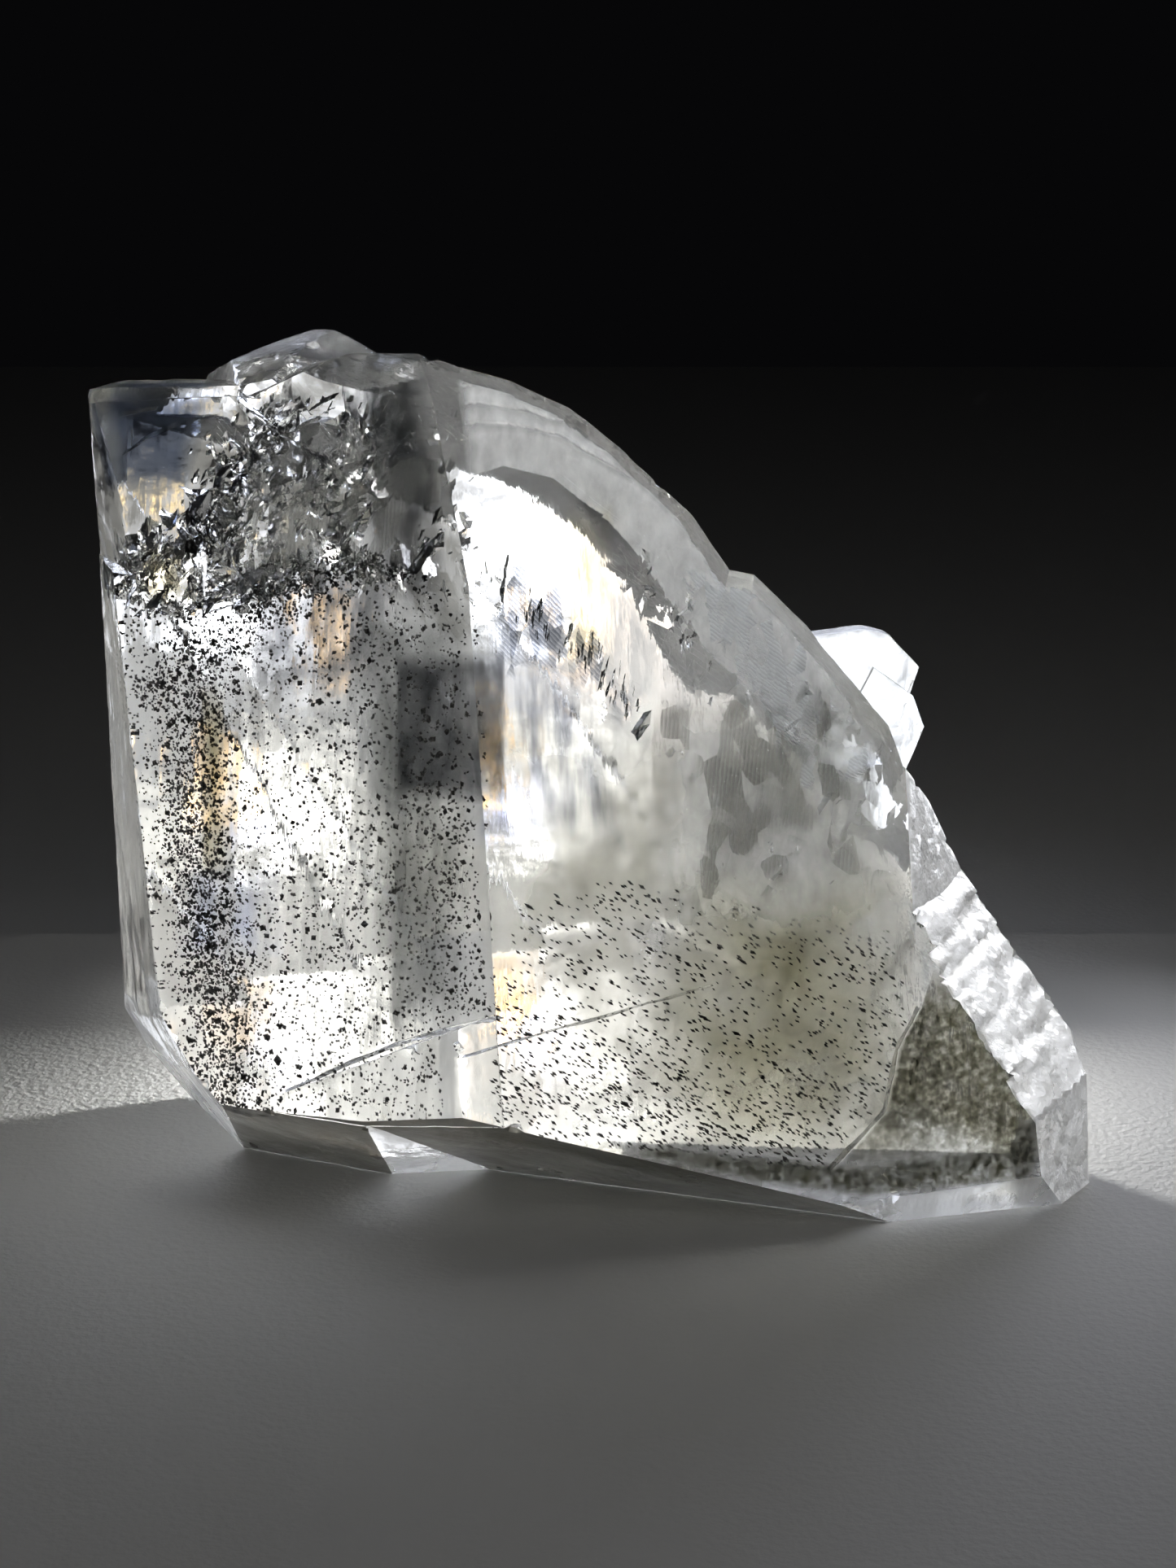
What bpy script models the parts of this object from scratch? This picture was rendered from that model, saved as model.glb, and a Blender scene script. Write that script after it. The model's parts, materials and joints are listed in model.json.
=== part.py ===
"""Clear calcite: one distorted crystal with a ragged right rim, a small crystal grown on its
top and two small plates grown out of its right shoulder, all one solid.

Metres, +Z up, +X to the right of the front view, front towards -Y.
A crystal is described the way crystallographers do it: every flat face is the way that it
looks and its distance from a point inside the crystal, here called its heart.
"""

from math import cos, radians, sin

import bmesh
import bpy
from mathutils import Vector

MM = 0.001

# Driving sizes
HEART = Vector((0.0, 0.0, 30.0)) * MM
KNOB_HEART = Vector((-20.1, 3.0, 61.9)) * MM
UPPER_PLATE_HEART = Vector((22.1, 3.0, 38.1)) * MM
LOWER_PLATE_HEART = Vector((22.8, 0.0, 35.6)) * MM
BLOCK = 160.0 * MM
SAME_POINT = 0.002 * MM
# How far, in millimetres, the raised piece of the front stays inside the faces that it shares
INSET = 0.05

# Faces are (azimuth, elevation, distance), in degrees and millimetres. The azimuth is 0 to the
# front, 90 to the right and 180 to the back. The elevation is 90 up and -90 down.
FRONT_LEFT = (-27.7, 6.5, 18.51)
FRONT_RIGHT = (12.9, 9.7, 14.84)
LEFT = (-73.5, -2.5, 34.9)
RIGHT_END = (56.5, 10.6, 30.08)
BACK = (178.0, 9.0, 18.6)
BACK_RIGHT = (152.0, 5.0, 17.6)
BASE = (0.0, -90.0, 30.0)
UNDER_LEFT = (-24.6, -51.3, 29.96)
UNDER_FRONT = (-14.0, -52.6, 28.68)

MAIN_FACES = (
    FRONT_LEFT,
    FRONT_RIGHT,
    (12.7, 15.2, 16.44),
    (11.7, 19.7, 18.89),
    LEFT,
    (-66.9, -23.0, 36.47),
    (-63.6, -33.0, 36.81),
    UNDER_LEFT,
    UNDER_FRONT,
    (14.6, -24.0, 29.76),
    BASE,
    RIGHT_END,
    (131.1, 78.8, 31.84),
    (155.8, 59.6, 23.53),
    (143.3, 55.0, 21.34),
    (129.0, 44.8, 17.56),
    (125.1, 40.3, 16.16),
    (119.4, 33.2, 17.04),
    (121.7, 35.3, 16.33),
    (117.1, 26.1, 22.47),
    (126.8, -9.6, 32.67),
    BACK_RIGHT,
    BACK,
    (-119.9, 8.1, 39.58),
    (172.0, -38.0, 25.0),
)

# Bands where the left side changes level
LEFT_LEDGE = (0.0, 90.0, 17.6)
LEFT_BELOW = (-73.5, -2.5, 34.07)
LEFT_ABOVE = (-65.2, -6.1, 29.67)

# The sunk shelf of the top left, and the narrow ledge in front of it
SHELF_END = (-84.4, 63.2, 39.7)
SHELF = (-95.4, 85.2, 34.26)
LEDGE = (-156.2, 82.6, 32.35)
LEDGE_WALL = (-27.8, 19.3, 23.36)

# The lower left front stands forward, under a slanting line, and its lower edge is chipped
RAISED = (-33.8, 6.5, 20.1)
RAISED_TOP = (-123.7, 63.3, -12.31)
CHIP = ((-18.9, -59.4, 28.74), (7.6, -52.0, 25.04))

# The bright rim that falls away behind the right of the front
RIM = (55.3, 30.6, 19.77)
RIM_TOP = (58.9, 7.9, 25.46)
RIM_STEPS = (
    (0.45, (82.0, -54.0, 23.5)),
    (0.8, (70.0, -46.0, 28.5)),
    (1.2, (88.0, -60.0, 33.0)),
)

# The two nicks in the outline of the right shoulder
UPPER_NICK = ((117.9, 29.5, 13.90), (169.5, 58.8, 13.05))
LOWER_NICK = ((110.7, 17.7, 19.46), (133.0, 46.2, 11.09))

# Growth steps: the face that they lie on, then for each one how far it is sunk, in all,
# and the face that bounds it
BACK_STEPS = (
    (0.9, (-105.0, -30.0, 6.0)),
    (2.1, (-98.0, -34.0, 17.0)),
    (2.9, (-112.0, -26.0, 25.0)),
    (4.4, (-104.0, -38.0, 33.5)),
)
BACK_RIGHT_STEPS = (
    (0.8, (70.0, -22.0, 14.0)),
    (1.7, (64.0, -30.0, 22.0)),
)

# The small crystals that grew out of the main one
KNOB_FACES = (
    (-112.0, 68.2, 4.13),
    (147.2, 79.9, 3.94),
    (103.9, 58.1, 3.81),
    (24.2, 57.9, 3.26),
    (-57.6, 64.8, 3.62),
    (-57.9, 68.5, 3.34),
    (-75.0, 20.0, 6.6),
    (-29.0, 12.0, 7.2),
    (172.0, 20.0, 7.0),
    (100.0, 15.0, 5.5),
    (0.0, -90.0, 4.0),
)
UPPER_PLATE_FACES = (
    (-136.6, 80.2, 4.70),
    (116.2, 74.2, 4.32),
    (96.6, 42.7, 3.77),
    (87.4, -20.3, 2.85),
    (12.0, 18.0, 3.0),
    (-172.0, 10.0, 3.4),
    (-95.0, -20.0, 8.0),
    (0.0, -90.0, 6.0),
)
LOWER_PLATE_FACES = (
    (99.7, 53.4, 3.31),
    (92.6, 20.2, 2.97),
    (86.7, -24.5, 2.98),
    (14.0, 16.0, 1.6),
    (-168.0, 5.0, 3.0),
    (-92.0, 30.0, 3.0),
    (-80.0, -40.0, 6.0),
)


def looks(azimuth, elevation):
    """The unit vector that points this way."""
    turn = radians(azimuth)
    lift = radians(elevation)
    return Vector((sin(turn) * cos(lift), -cos(turn) * cos(lift), sin(lift)))


def turned_over(face):
    """The same plane, looking the other way."""
    azimuth, elevation, distance = face
    return azimuth + 180.0, -elevation, -distance


def convex_solid(name, faces, heart=HEART):
    """A closed convex solid: a large block, cut off at each face in turn."""
    shape = bmesh.new()
    bmesh.ops.create_cube(shape, size=BLOCK)
    bmesh.ops.translate(shape, verts=shape.verts, vec=heart)
    for azimuth, elevation, distance in faces:
        outward = looks(azimuth, elevation)
        found = bmesh.ops.bisect_plane(
            shape,
            geom=shape.verts[:] + shape.edges[:] + shape.faces[:],
            dist=SAME_POINT,
            plane_co=heart + outward * distance * MM,
            plane_no=outward,
            clear_outer=True,
        )
        rim = [item for item in found["geom_cut"] if isinstance(item, bmesh.types.BMEdge)]
        if rim:
            bmesh.ops.contextual_create(shape, geom=rim)
    bmesh.ops.recalc_face_normals(shape, faces=shape.faces)
    mesh = bpy.data.meshes.new(name)
    shape.to_mesh(mesh)
    shape.free()
    solid = bpy.data.objects.new(name, mesh)
    bpy.context.scene.collection.objects.link(solid)
    return solid


def combine(body, other, operation):
    """Joins the other solid to the body, or cuts it out, and keeps it as a hidden helper."""
    modifier = body.modifiers.new(other.name, "BOOLEAN")
    modifier.operation = operation
    modifier.object = other
    other.hide_render = True
    other.display_type = "WIRE"


def cut_back(body, name, outside, within=()):
    """Takes away what lies outside all of the first faces and within all of the others."""
    bounds = [turned_over(face) for face in outside] + list(within)
    combine(body, convex_solid(name, bounds), "DIFFERENCE")


def cut_back_steps(body, name, face, steps, also_outside=()):
    """Growth steps on a face: thin layers taken away, each one sunk by so much beyond a side."""
    azimuth, elevation, distance = face
    for number, (sunk, side) in enumerate(steps, start=1):
        level = (azimuth, elevation, distance - sunk)
        cut_back(body, f"{name}_{number}", [level, side, *also_outside])


def calcite():
    """Clear, nearly colourless calcite."""
    material = bpy.data.materials.new("clear_calcite")
    material.use_nodes = True
    shader = material.node_tree.nodes["Principled BSDF"]
    shader.inputs["Base Color"].default_value = (0.86, 0.87, 0.84, 1.0)
    shader.inputs["Roughness"].default_value = 0.08
    shader.inputs["Metallic"].default_value = 0.0
    shader.inputs["IOR"].default_value = 1.6
    shader.inputs["Transmission Weight"].default_value = 0.85
    return material


def stand_centred(body):
    """Keeps the finished mesh alone and moves the middle of its base to the origin."""
    graph = bpy.context.evaluated_depsgraph_get()
    finished = bpy.data.meshes.new_from_object(body.evaluated_get(graph))
    body.modifiers.clear()
    body.data = finished
    lows = [min(point.co[axis] for point in finished.vertices) for axis in range(3)]
    highs = [max(point.co[axis] for point in finished.vertices) for axis in range(3)]
    middle = Vector(((lows[0] + highs[0]) / 2, (lows[1] + highs[1]) / 2, lows[2]))
    for point in finished.vertices:
        point.co -= middle
    return middle


def main():
    for old in list(bpy.data.objects):
        bpy.data.objects.remove(old)
    crystal = convex_solid("calcite_crystal", MAIN_FACES)
    crystal.data.materials.append(calcite())
    cut_back(crystal, "left_below", [LEFT_BELOW], [LEFT_LEDGE])
    cut_back(crystal, "left_above", [LEFT_ABOVE, LEFT_LEDGE])
    cut_back(crystal, "shelf", [SHELF, SHELF_END])
    cut_back(crystal, "ledge", [LEDGE, LEDGE_WALL, SHELF_END])
    raised = [RAISED, RAISED_TOP]
    for azimuth, elevation, distance in MAIN_FACES[1:]:
        raised.append((azimuth, elevation, distance - INSET))
    combine(crystal, convex_solid("raised_front", raised), "UNION")
    cut_back(crystal, "chip", CHIP)
    cut_back(crystal, "rim", [RIM, RIM_TOP])
    cut_back_steps(crystal, "rim_step", RIM, RIM_STEPS, [RIM_TOP])
    cut_back(crystal, "upper_nick", UPPER_NICK)
    cut_back(crystal, "lower_nick", LOWER_NICK)
    cut_back_steps(crystal, "back_step", BACK, BACK_STEPS)
    cut_back_steps(crystal, "back_right_step", BACK_RIGHT, BACK_RIGHT_STEPS)
    combine(crystal, convex_solid("knob", KNOB_FACES, KNOB_HEART), "UNION")
    combine(crystal, convex_solid("upper_plate", UPPER_PLATE_FACES, UPPER_PLATE_HEART), "UNION")
    combine(crystal, convex_solid("lower_plate", LOWER_PLATE_FACES, LOWER_PLATE_HEART), "UNION")
    return stand_centred(crystal)


if __name__ == "__main__":
    main()
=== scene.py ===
# %% [markdown]
# # A clear calcite crystal
# This lesson dresses one solid from the CAD frame: a clear, slightly milky calcite, about 80 mm wide,
# that stands on its flat underside. On the real one almost all of the look is inside: black grains on
# old growth faces, milky veils, pearly cracks, and faces that are clear at the front and etched at the
# back. So we keep the flat faces exact, give each kind of face its own fine relief, and then build
# what lies inside as thin meshes, as deep under the faces as it is on the specimen.

# %% Open the frame
import json

import bpy
import numpy as np
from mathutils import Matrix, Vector
from mathutils.bvhtree import BVHTree
from mathutils.geometry import delaunay_2d_cdt

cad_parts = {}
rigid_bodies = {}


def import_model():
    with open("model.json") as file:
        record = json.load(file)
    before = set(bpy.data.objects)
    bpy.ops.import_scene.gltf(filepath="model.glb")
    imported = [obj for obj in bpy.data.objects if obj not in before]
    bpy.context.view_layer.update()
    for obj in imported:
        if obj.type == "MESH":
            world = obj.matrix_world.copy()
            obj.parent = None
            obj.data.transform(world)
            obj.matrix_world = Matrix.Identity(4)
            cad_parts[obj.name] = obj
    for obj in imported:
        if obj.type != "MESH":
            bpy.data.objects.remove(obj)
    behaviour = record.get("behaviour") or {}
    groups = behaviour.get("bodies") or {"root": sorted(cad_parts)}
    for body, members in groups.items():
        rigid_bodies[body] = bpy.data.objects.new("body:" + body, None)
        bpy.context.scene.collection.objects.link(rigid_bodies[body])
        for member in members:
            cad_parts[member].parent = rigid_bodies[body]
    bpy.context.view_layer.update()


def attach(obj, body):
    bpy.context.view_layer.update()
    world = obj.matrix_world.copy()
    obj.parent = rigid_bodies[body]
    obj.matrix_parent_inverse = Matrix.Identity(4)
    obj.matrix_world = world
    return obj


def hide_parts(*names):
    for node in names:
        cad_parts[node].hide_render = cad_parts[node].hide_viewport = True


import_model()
MM = 0.001

# %% [markdown]
# ## Lines of sight
# A feature inside a clear stone can't be placed by its height and width alone: its depth matters, and
# the stone bends the view. We could move each feature by hand until it looks right, but it is quicker
# to follow the line of sight from the camera, bend it at the front face by Snell's law, and stop at
# the depth that we want. Everything below is placed that way, so it keeps its place from all sides.

# %% The camera, in millimetres
PHOTO_SIZE = np.array([1445.0, 1927.0])
LENS = 70.0
SENSOR = 36.0
FOCAL_IN_PIXELS = PHOTO_SIZE[1] * LENS / SENSOR
TILT = np.radians(15.0)
# What the camera looks at, and how far off it stands
AIM = np.array([0.135, -11.929, 34.0])
DISTANCE = 225.0
RIGHTWARD = np.array([1.0, 0.0, 0.0])
FORWARD = np.array([0.0, np.cos(TILT), -np.sin(TILT)])
UPWARD = np.array([0.0, np.sin(TILT), np.cos(TILT)])
CAMERA_AT = AIM - DISTANCE * FORWARD

camera_data = bpy.data.cameras.new("camera")
camera_data.lens = LENS
camera_data.sensor_width = SENSOR
camera_data.clip_start = 0.01
camera = bpy.data.objects.new("camera", camera_data)
camera.location = CAMERA_AT * MM
camera.rotation_euler = (np.pi / 2 - TILT, 0.0, 0.0)
bpy.context.scene.collection.objects.link(camera)
bpy.context.scene.camera = camera
print("camera at", CAMERA_AT.round(1), "mm")

# %% [markdown]
# The faces that we look through are planes. The CAD source gives each one as the way that it looks and
# its distance from the heart of the crystal, as crystallographers do, so we write the two fronts the
# same way. A ray's place on a plane is then one division, and Snell's law turns its direction.

# %% Follow a line of sight into the stone
CALCITE_IOR = 1.6
HEART = np.array([0.135, 0.071, 30.0])


def looks(azimuth, elevation):
    """The unit vector that looks this way: azimuth 0 to the front, 90 right, 180 back; 90 is up."""
    turn, lift = np.radians(azimuth), np.radians(elevation)
    return np.array([np.sin(turn) * np.cos(lift), -np.cos(turn) * np.cos(lift), np.sin(lift)])


FRONT_LEFT = (looks(-27.7, 6.5), 18.51)
FRONT_RIGHT = (looks(12.9, 9.7), 14.84)


def seen(pixels, face, depth):
    """Points in mm that show at these pixels of the photograph, so deep under a face.

    Line of sight: the pixel's offset from the picture's middle, over the focal length in pixels. It
    meets the face, bends by Snell's law, and goes on until it is as deep as asked."""
    pixels = np.atleast_2d(np.asarray(pixels, float))
    normal, distance = face
    off = (pixels - PHOTO_SIZE / 2) / FOCAL_IN_PIXELS
    ray = FORWARD + off[:, :1] * RIGHTWARD - off[:, 1:] * UPWARD
    ray /= np.linalg.norm(ray, axis=1, keepdims=True)
    reach = (distance - (CAMERA_AT - HEART) @ normal) / (ray @ normal)
    met = CAMERA_AT + ray * reach[:, None]
    slant = -(ray @ normal)
    inner = np.sqrt(1 - (1 - slant**2) / CALCITE_IOR**2)
    bent = ray / CALCITE_IOR + (slant / CALCITE_IOR - inner)[:, None] * normal
    return met + bent * (np.broadcast_to(depth, reach.shape) / inner)[:, None]


def pixels_of(spots):
    """The photograph's pixels where points in mm show, along straight lines of sight."""
    away = spots - CAMERA_AT
    across = np.column_stack([away[:, 0], -(away @ UPWARD)])
    return PHOTO_SIZE / 2 + FOCAL_IN_PIXELS * across / (away @ FORWARD)[:, None]


print("the middle of the right front shows at", seen(PHOTO_SIZE / 2, FRONT_RIGHT, 0).round(1), "mm")

# %% [markdown]
# ## Noise and meshes
# Natural relief is uneven at every size. Blender has noise textures, but a mesh needs numbers at its
# points, so we work out our own smooth noise with numpy: random values on a lattice, blended between.
# The same random table is used each run, so that the crystal never changes.

# %% Smooth noise
TABLE = np.random.default_rng(7).random(4096)
# One large number for each axis, and one for the seed, mixes the lattice numbers well
MIXERS = (73856093, 19349663, 83492791, 2654435)
# Far enough from zero that no lattice number is negative
START = 100.0


def noise(points, size, seed=0):
    """Smooth noise from -1 to 1 with bumps `size` mm apart.

    Each lattice corner has a random value, picked from a table by a hash of its three whole
    numbers. A point blends its eight corners by the smooth step 3t^2 - 2t^3 on each axis."""
    scaled = np.asarray(points, float) / size + START
    cell = np.floor(scaled).astype(np.int64)
    t = scaled - cell
    t = t * t * (3 - 2 * t)
    total = np.zeros(len(scaled))
    for corner in np.ndindex(2, 2, 2):
        corner = np.array(corner)
        i, j, k = (cell + corner).T
        mixed = i * MIXERS[0] ^ j * MIXERS[1] ^ k * MIXERS[2] ^ seed * MIXERS[3]
        total += TABLE[mixed % len(TABLE)] * np.prod(np.where(corner == 1, t, 1 - t), axis=1)
    return total * 2 - 1


def rough(points, size, seed=0, layers=3):
    """Noise in layers, each one half as large and half as strong as the one before."""
    total = sum(noise(points, size / 2**n, seed + n) / 2**n for n in range(layers))
    return total / (2 - 2.0 ** (1 - layers))


sample = noise(np.random.default_rng(1).random((2000, 3)) * 60, 4.0)
print("noise runs from", sample.min().round(2), "to", sample.max().round(2))

# %% [markdown]
# Every piece here is worked out as arrays of points and faces, and every finish is a small net of
# nodes. One function puts arrays into a mesh, and one adds a node together with its settings and what
# feeds it. That keeps each later cell down to what is special about its piece.

# %% Helpers for meshes and materials
def add_mesh(name, points, faces, smooth=False):
    """A mesh object from arrays of points in mm and of faces that all have as many corners."""
    mesh = bpy.data.meshes.new(name)
    faces = np.asarray(faces)
    mesh.vertices.add(len(points))
    mesh.vertices.foreach_set("co", (np.asarray(points) * MM).astype(np.float32).ravel())
    mesh.loops.add(faces.size)
    mesh.loops.foreach_set("vertex_index", faces.astype(np.int32).ravel())
    mesh.polygons.add(len(faces))
    mesh.polygons.foreach_set("loop_start", np.arange(0, faces.size, faces.shape[1], dtype=np.int32))
    mesh.update(calc_edges=True)
    mesh.polygons.foreach_set("use_smooth", np.full(len(faces), smooth))
    made = bpy.data.objects.new(name, mesh)
    bpy.context.scene.collection.objects.link(made)
    return made


def colour(hex_code):
    """Linear colour from an sRGB hex code such as #b5b3a8."""
    values = np.array([int(hex_code[i : i + 2], 16) for i in (1, 3, 5)]) / 255
    linear = np.where(values <= 0.04045, values / 12.92, ((values + 0.055) / 1.055) ** 2.4)
    return (*linear.tolist(), 1.0)


def add_node(material, kind, settings=None, *sources, **links):
    """Adds a node. Settings are its properties, or its inputs by name or number. Sources feed its
    inputs in order, and links feed them by name: each is a socket, a number, or a node, whose first
    output is meant."""
    node = material.node_tree.nodes.new(kind)
    for key, value in (settings or {}).items():
        if isinstance(key, str) and hasattr(node, key):
            setattr(node, key, value)
        else:
            node.inputs[key].default_value = value
    by_name = {key.replace("_", " "): source for key, source in links.items()}
    for key, source in [*enumerate(sources), *by_name.items()]:
        if isinstance(source, bpy.types.Node):
            source = source.outputs[0]
        if isinstance(source, bpy.types.NodeSocket):
            material.node_tree.links.new(source, node.inputs[key])
        else:
            node.inputs[key].default_value = source
    return node


def new_material(name):
    """A material without nodes."""
    material = bpy.data.materials.new(name)
    material.use_nodes = True
    material.node_tree.nodes.clear()
    return material


def finished(material, shader):
    """The material, with its shader led to its output."""
    add_node(material, "ShaderNodeOutputMaterial", None, shader)
    return material


print("mid grey #808080 is", round(colour("#808080")[0], 3), "in linear light")

# %% [markdown]
# ## The crystal's surface
# The CAD solid has large flat faces. On the real crystal they carry fine relief: upright growth lines
# on the front, a ragged rim at the right, and etched hills on the back. Subdividing the CAD mesh would
# leave long thin triangles. Instead we lay an even grid of points on each flat face, with more points
# along its edges that its neighbours share, and fill it by Delaunay triangulation, which picks the
# roundest triangles. Then each point sinks below its faces by a function of where it is.

# %% Read the flat faces of the solid
# Corners that round to the same 1/200 mm are one, and planes that round to the same 1/5 mm too
CORNER_STEPS = 200
PLANE_STEPS = 5
# Thinner triangles than this have no direction of their own
LEAST_AREA = 1e-6

solid = bpy.data.objects["calcite_crystal"]
source = solid.data
raw = np.empty(len(source.vertices) * 3, dtype=np.float32)
source.vertices.foreach_get("co", raw)
source.calc_loop_triangles()
index = np.empty(len(source.loop_triangles) * 3, dtype=np.int32)
source.loop_triangles.foreach_get("vertices", index)
raw = raw.reshape(-1, 3).astype(float) / MM
rounded = (raw * CORNER_STEPS).round()
_, first, joined = np.unique(rounded, axis=0, return_index=True, return_inverse=True)
CORNERS = raw[first]
TRIANGLES = joined.ravel()[index].reshape(-1, 3)
one, two, three = CORNERS[TRIANGLES].transpose(1, 0, 2)
across = np.cross(two - one, three - one)
area = np.linalg.norm(across, axis=1)
TRIANGLES, across = TRIANGLES[area > LEAST_AREA], across[area > LEAST_AREA]
flat = across / np.linalg.norm(across, axis=1, keepdims=True)
level = (flat * CORNERS[TRIANGLES[:, 0]]).sum(1)
PLANES, plane_of = np.unique(
    np.column_stack([flat.round(2), (level * PLANE_STEPS).round()]), axis=0, return_inverse=True
)
plane_of = plane_of.ravel()
NORMALS = np.array([flat[plane_of == n].mean(0) for n in range(len(PLANES))])
NORMALS /= np.linalg.norm(NORMALS, axis=1, keepdims=True)
print(len(CORNERS), "corners,", len(TRIANGLES), "triangles,", len(PLANES), "flat faces")

# %% [markdown]
# The filled faces must close without a gap, so both neighbours of an edge need the same points on it.
# We divide each outer edge evenly by its own length, which gives both the same answer, and keep the
# inner rows half a step away from it, because points too close together make slivers.

# %% Fill each flat face with an even grid
SPACING = 0.55
# The rows of a triangular grid are this much of its spacing apart
ROW = 0.87
# Points are one if they round to the same 1/2000 mm on a border, or to the same 1/1000 mm in all
BORDER_STEPS = 2000
POINT_STEPS = 1000


def within(spots, triangles):
    """Which spots of a plane are inside any of these triangles: on one side of all three edges."""
    inside = np.zeros(len(spots), bool)
    for a, b, c in triangles:
        sides = [
            (q[0] - p[0]) * (spots[:, 1] - p[1]) - (q[1] - p[1]) * (spots[:, 0] - p[0])
            for p, q in ((a, b), (b, c), (c, a))
        ]
        inside |= (np.min(sides, axis=0) > 0) | (np.max(sides, axis=0) < 0)
    return inside


def border_of(mine):
    """The outer edges of some triangles, divided evenly: their points, and which ones are linked."""
    edges = np.sort(np.concatenate([mine[:, [0, 1]], mine[:, [1, 2]], mine[:, [2, 0]]]), axis=1)
    edges, uses = np.unique(edges, axis=0, return_counts=True)
    starts, ends = CORNERS[edges[uses == 1]].transpose(1, 0, 2)
    steps = np.maximum(1, np.ceil(np.linalg.norm(ends - starts, axis=1) / SPACING)).astype(int)
    edge = np.repeat(np.arange(len(steps)), steps)
    place = np.arange(steps.sum()) - np.repeat(np.cumsum(steps) - steps, steps)
    both = [starts[edge] + (ends - starts)[edge] * ((place + n) / steps[edge])[:, None] for n in (0, 1)]
    both = np.concatenate(both)
    rounded = (both * BORDER_STEPS).round()
    _, kept, same = np.unique(rounded, axis=0, return_index=True, return_inverse=True)
    return both[kept], same.ravel().reshape(2, -1).T, starts, ends


def fill(number):
    """Fills a flat face: its border, and a grid of rows in its plane, half a step off the border."""
    mine = TRIANGLES[plane_of == number]
    normal = NORMALS[number]
    border, links, starts, ends = border_of(mine)
    right = np.cross([0.1, 0.2, 1.0], normal)
    right /= np.linalg.norm(right)
    basis = np.column_stack([right, np.cross(normal, right)])
    shape = CORNERS[mine] @ basis
    (left, bottom), (far, top) = shape.min((0, 1)), shape.max((0, 1))
    u, v = np.meshgrid(np.arange(left, far, SPACING), np.arange(bottom, top, SPACING * ROW))
    u = u + (np.arange(len(v)) % 2)[:, None] * SPACING / 2
    grid = np.column_stack([u.ravel(), v.ravel()])
    grid = grid[within(grid, shape)]
    for a, b in zip(starts @ basis, ends @ basis):
        along = np.clip((grid - a) @ (b - a) / ((b - a) @ (b - a)), 0, 1)
        grid = grid[np.linalg.norm(grid - a - along[:, None] * (b - a), axis=1) > SPACING * 0.5]
    spots = np.concatenate([border @ basis, grid])
    found = delaunay_2d_cdt(spots.tolist(), links.tolist(), [], 2, 1e-6)
    filled = np.array([origin[0] for origin in found[3]])[np.array(found[2])]
    filled = filled[within(spots[filled].mean(1), shape)]
    solid_points = np.concatenate([border, grid @ basis.T + normal * (CORNERS[mine[0, 0]] @ normal)])
    one, two, three = solid_points[filled].transpose(1, 0, 2)
    inward = np.cross(two - one, three - one) @ normal < 0
    filled[inward] = filled[inward][:, ::-1]
    return solid_points, filled


fills = [fill(number) for number in range(len(PLANES))]
before = np.cumsum([0] + [len(spots) for spots, _ in fills])
points = np.concatenate([spots for spots, _ in fills])
faces = np.concatenate([filled + start for (_, filled), start in zip(fills, before)])
owner = np.repeat(np.arange(len(PLANES)), [len(filled) for _, filled in fills])
rounded = (points * POINT_STEPS).round()
_, first, joined = np.unique(rounded, axis=0, return_index=True, return_inverse=True)
points, faces = points[first], joined.ravel()[faces]
print(len(points), "points,", len(faces), "triangles")

# %% [markdown]
# Where two faces meet, a point has to satisfy both: it sinks by one depth below the first face and by
# another below the second. That is a small set of equations, one for each face that the point is on,
# and the pseudoinverse gives the shortest move that solves it. Edges stay sharp and turn ragged where
# one of the faces is.

# %% Sink each kind of face by its own relief
def faces_like(azimuth, elevation, degrees=4.0):
    """Which flat faces look this way, within so many degrees."""
    return NORMALS @ looks(azimuth, elevation) > np.cos(np.radians(degrees))


KIND = {
    "front_left": faces_like(-29.5, 6.5),
    "front_right": faces_like(12.5, 13.0, 8.0),
    "rim": faces_like(55.3, 30.6),
    "right_end": faces_like(56.5, 8.0, 6.0),
    "left": faces_like(-71.0, -5.0, 7.0),
    "base": faces_like(0.0, -90.0, 3.0),
}
KIND["back"] = ((NORMALS[:, 1] > 0.15) | (NORMALS[:, 2] > 0.6)) & ~np.any(list(KIND.values()), axis=0)

pairs = np.unique(np.column_stack([faces.ravel(), np.repeat(owner, 3)]), axis=0)
place = points[pairs[:, 0]]
kind_of = {name: mask[pairs[:, 1]] for name, mask in KIND.items()}
# The rim's splinters lie across one way and are drawn out along the other two
slanted = place @ np.column_stack([looks(60, -48), looks(20, 30) * 0.25, looks(-60, 20) * 0.25])
# How far each kind sinks, in mm: a middle depth, and noise drawn out where the place is squeezed
RELIEF = {
    "front_left": 0.05 + 0.05 * rough(place * (1.0, 1.0, 0.06), 1.6, 11),
    "front_right": 0.04 + 0.04 * rough(place * (0.7, 1, 0.25), 2.5, 15),
    "rim": 0.42 + 0.4 * rough(slanted, 1.3, 21),
    "back": 0.14 + 0.12 * rough(place, 3.5, 31),
    "left": 0.06 + 0.05 * rough(place * (1, 1, 0.3), 2.0, 41),
    "base": np.zeros(len(place)),
}
sink = 0.02 + 0.02 * noise(place, 1.5, 3)
for kind, depth in RELIEF.items():
    mine = depth[kind_of[kind]]
    sink[kind_of[kind]] = mine
    print(kind, "sinks by", mine.min().round(2), "to", mine.max().round(2), "mm")

# %% [markdown]
# Now the equations: one row for each face of a point, with that face's direction and how far the point
# sinks along it. A point inside a face has one row, and moves straight in. The points on edges get one
# more move, a chip, because the edges of real crystals are nicked everywhere.

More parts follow.
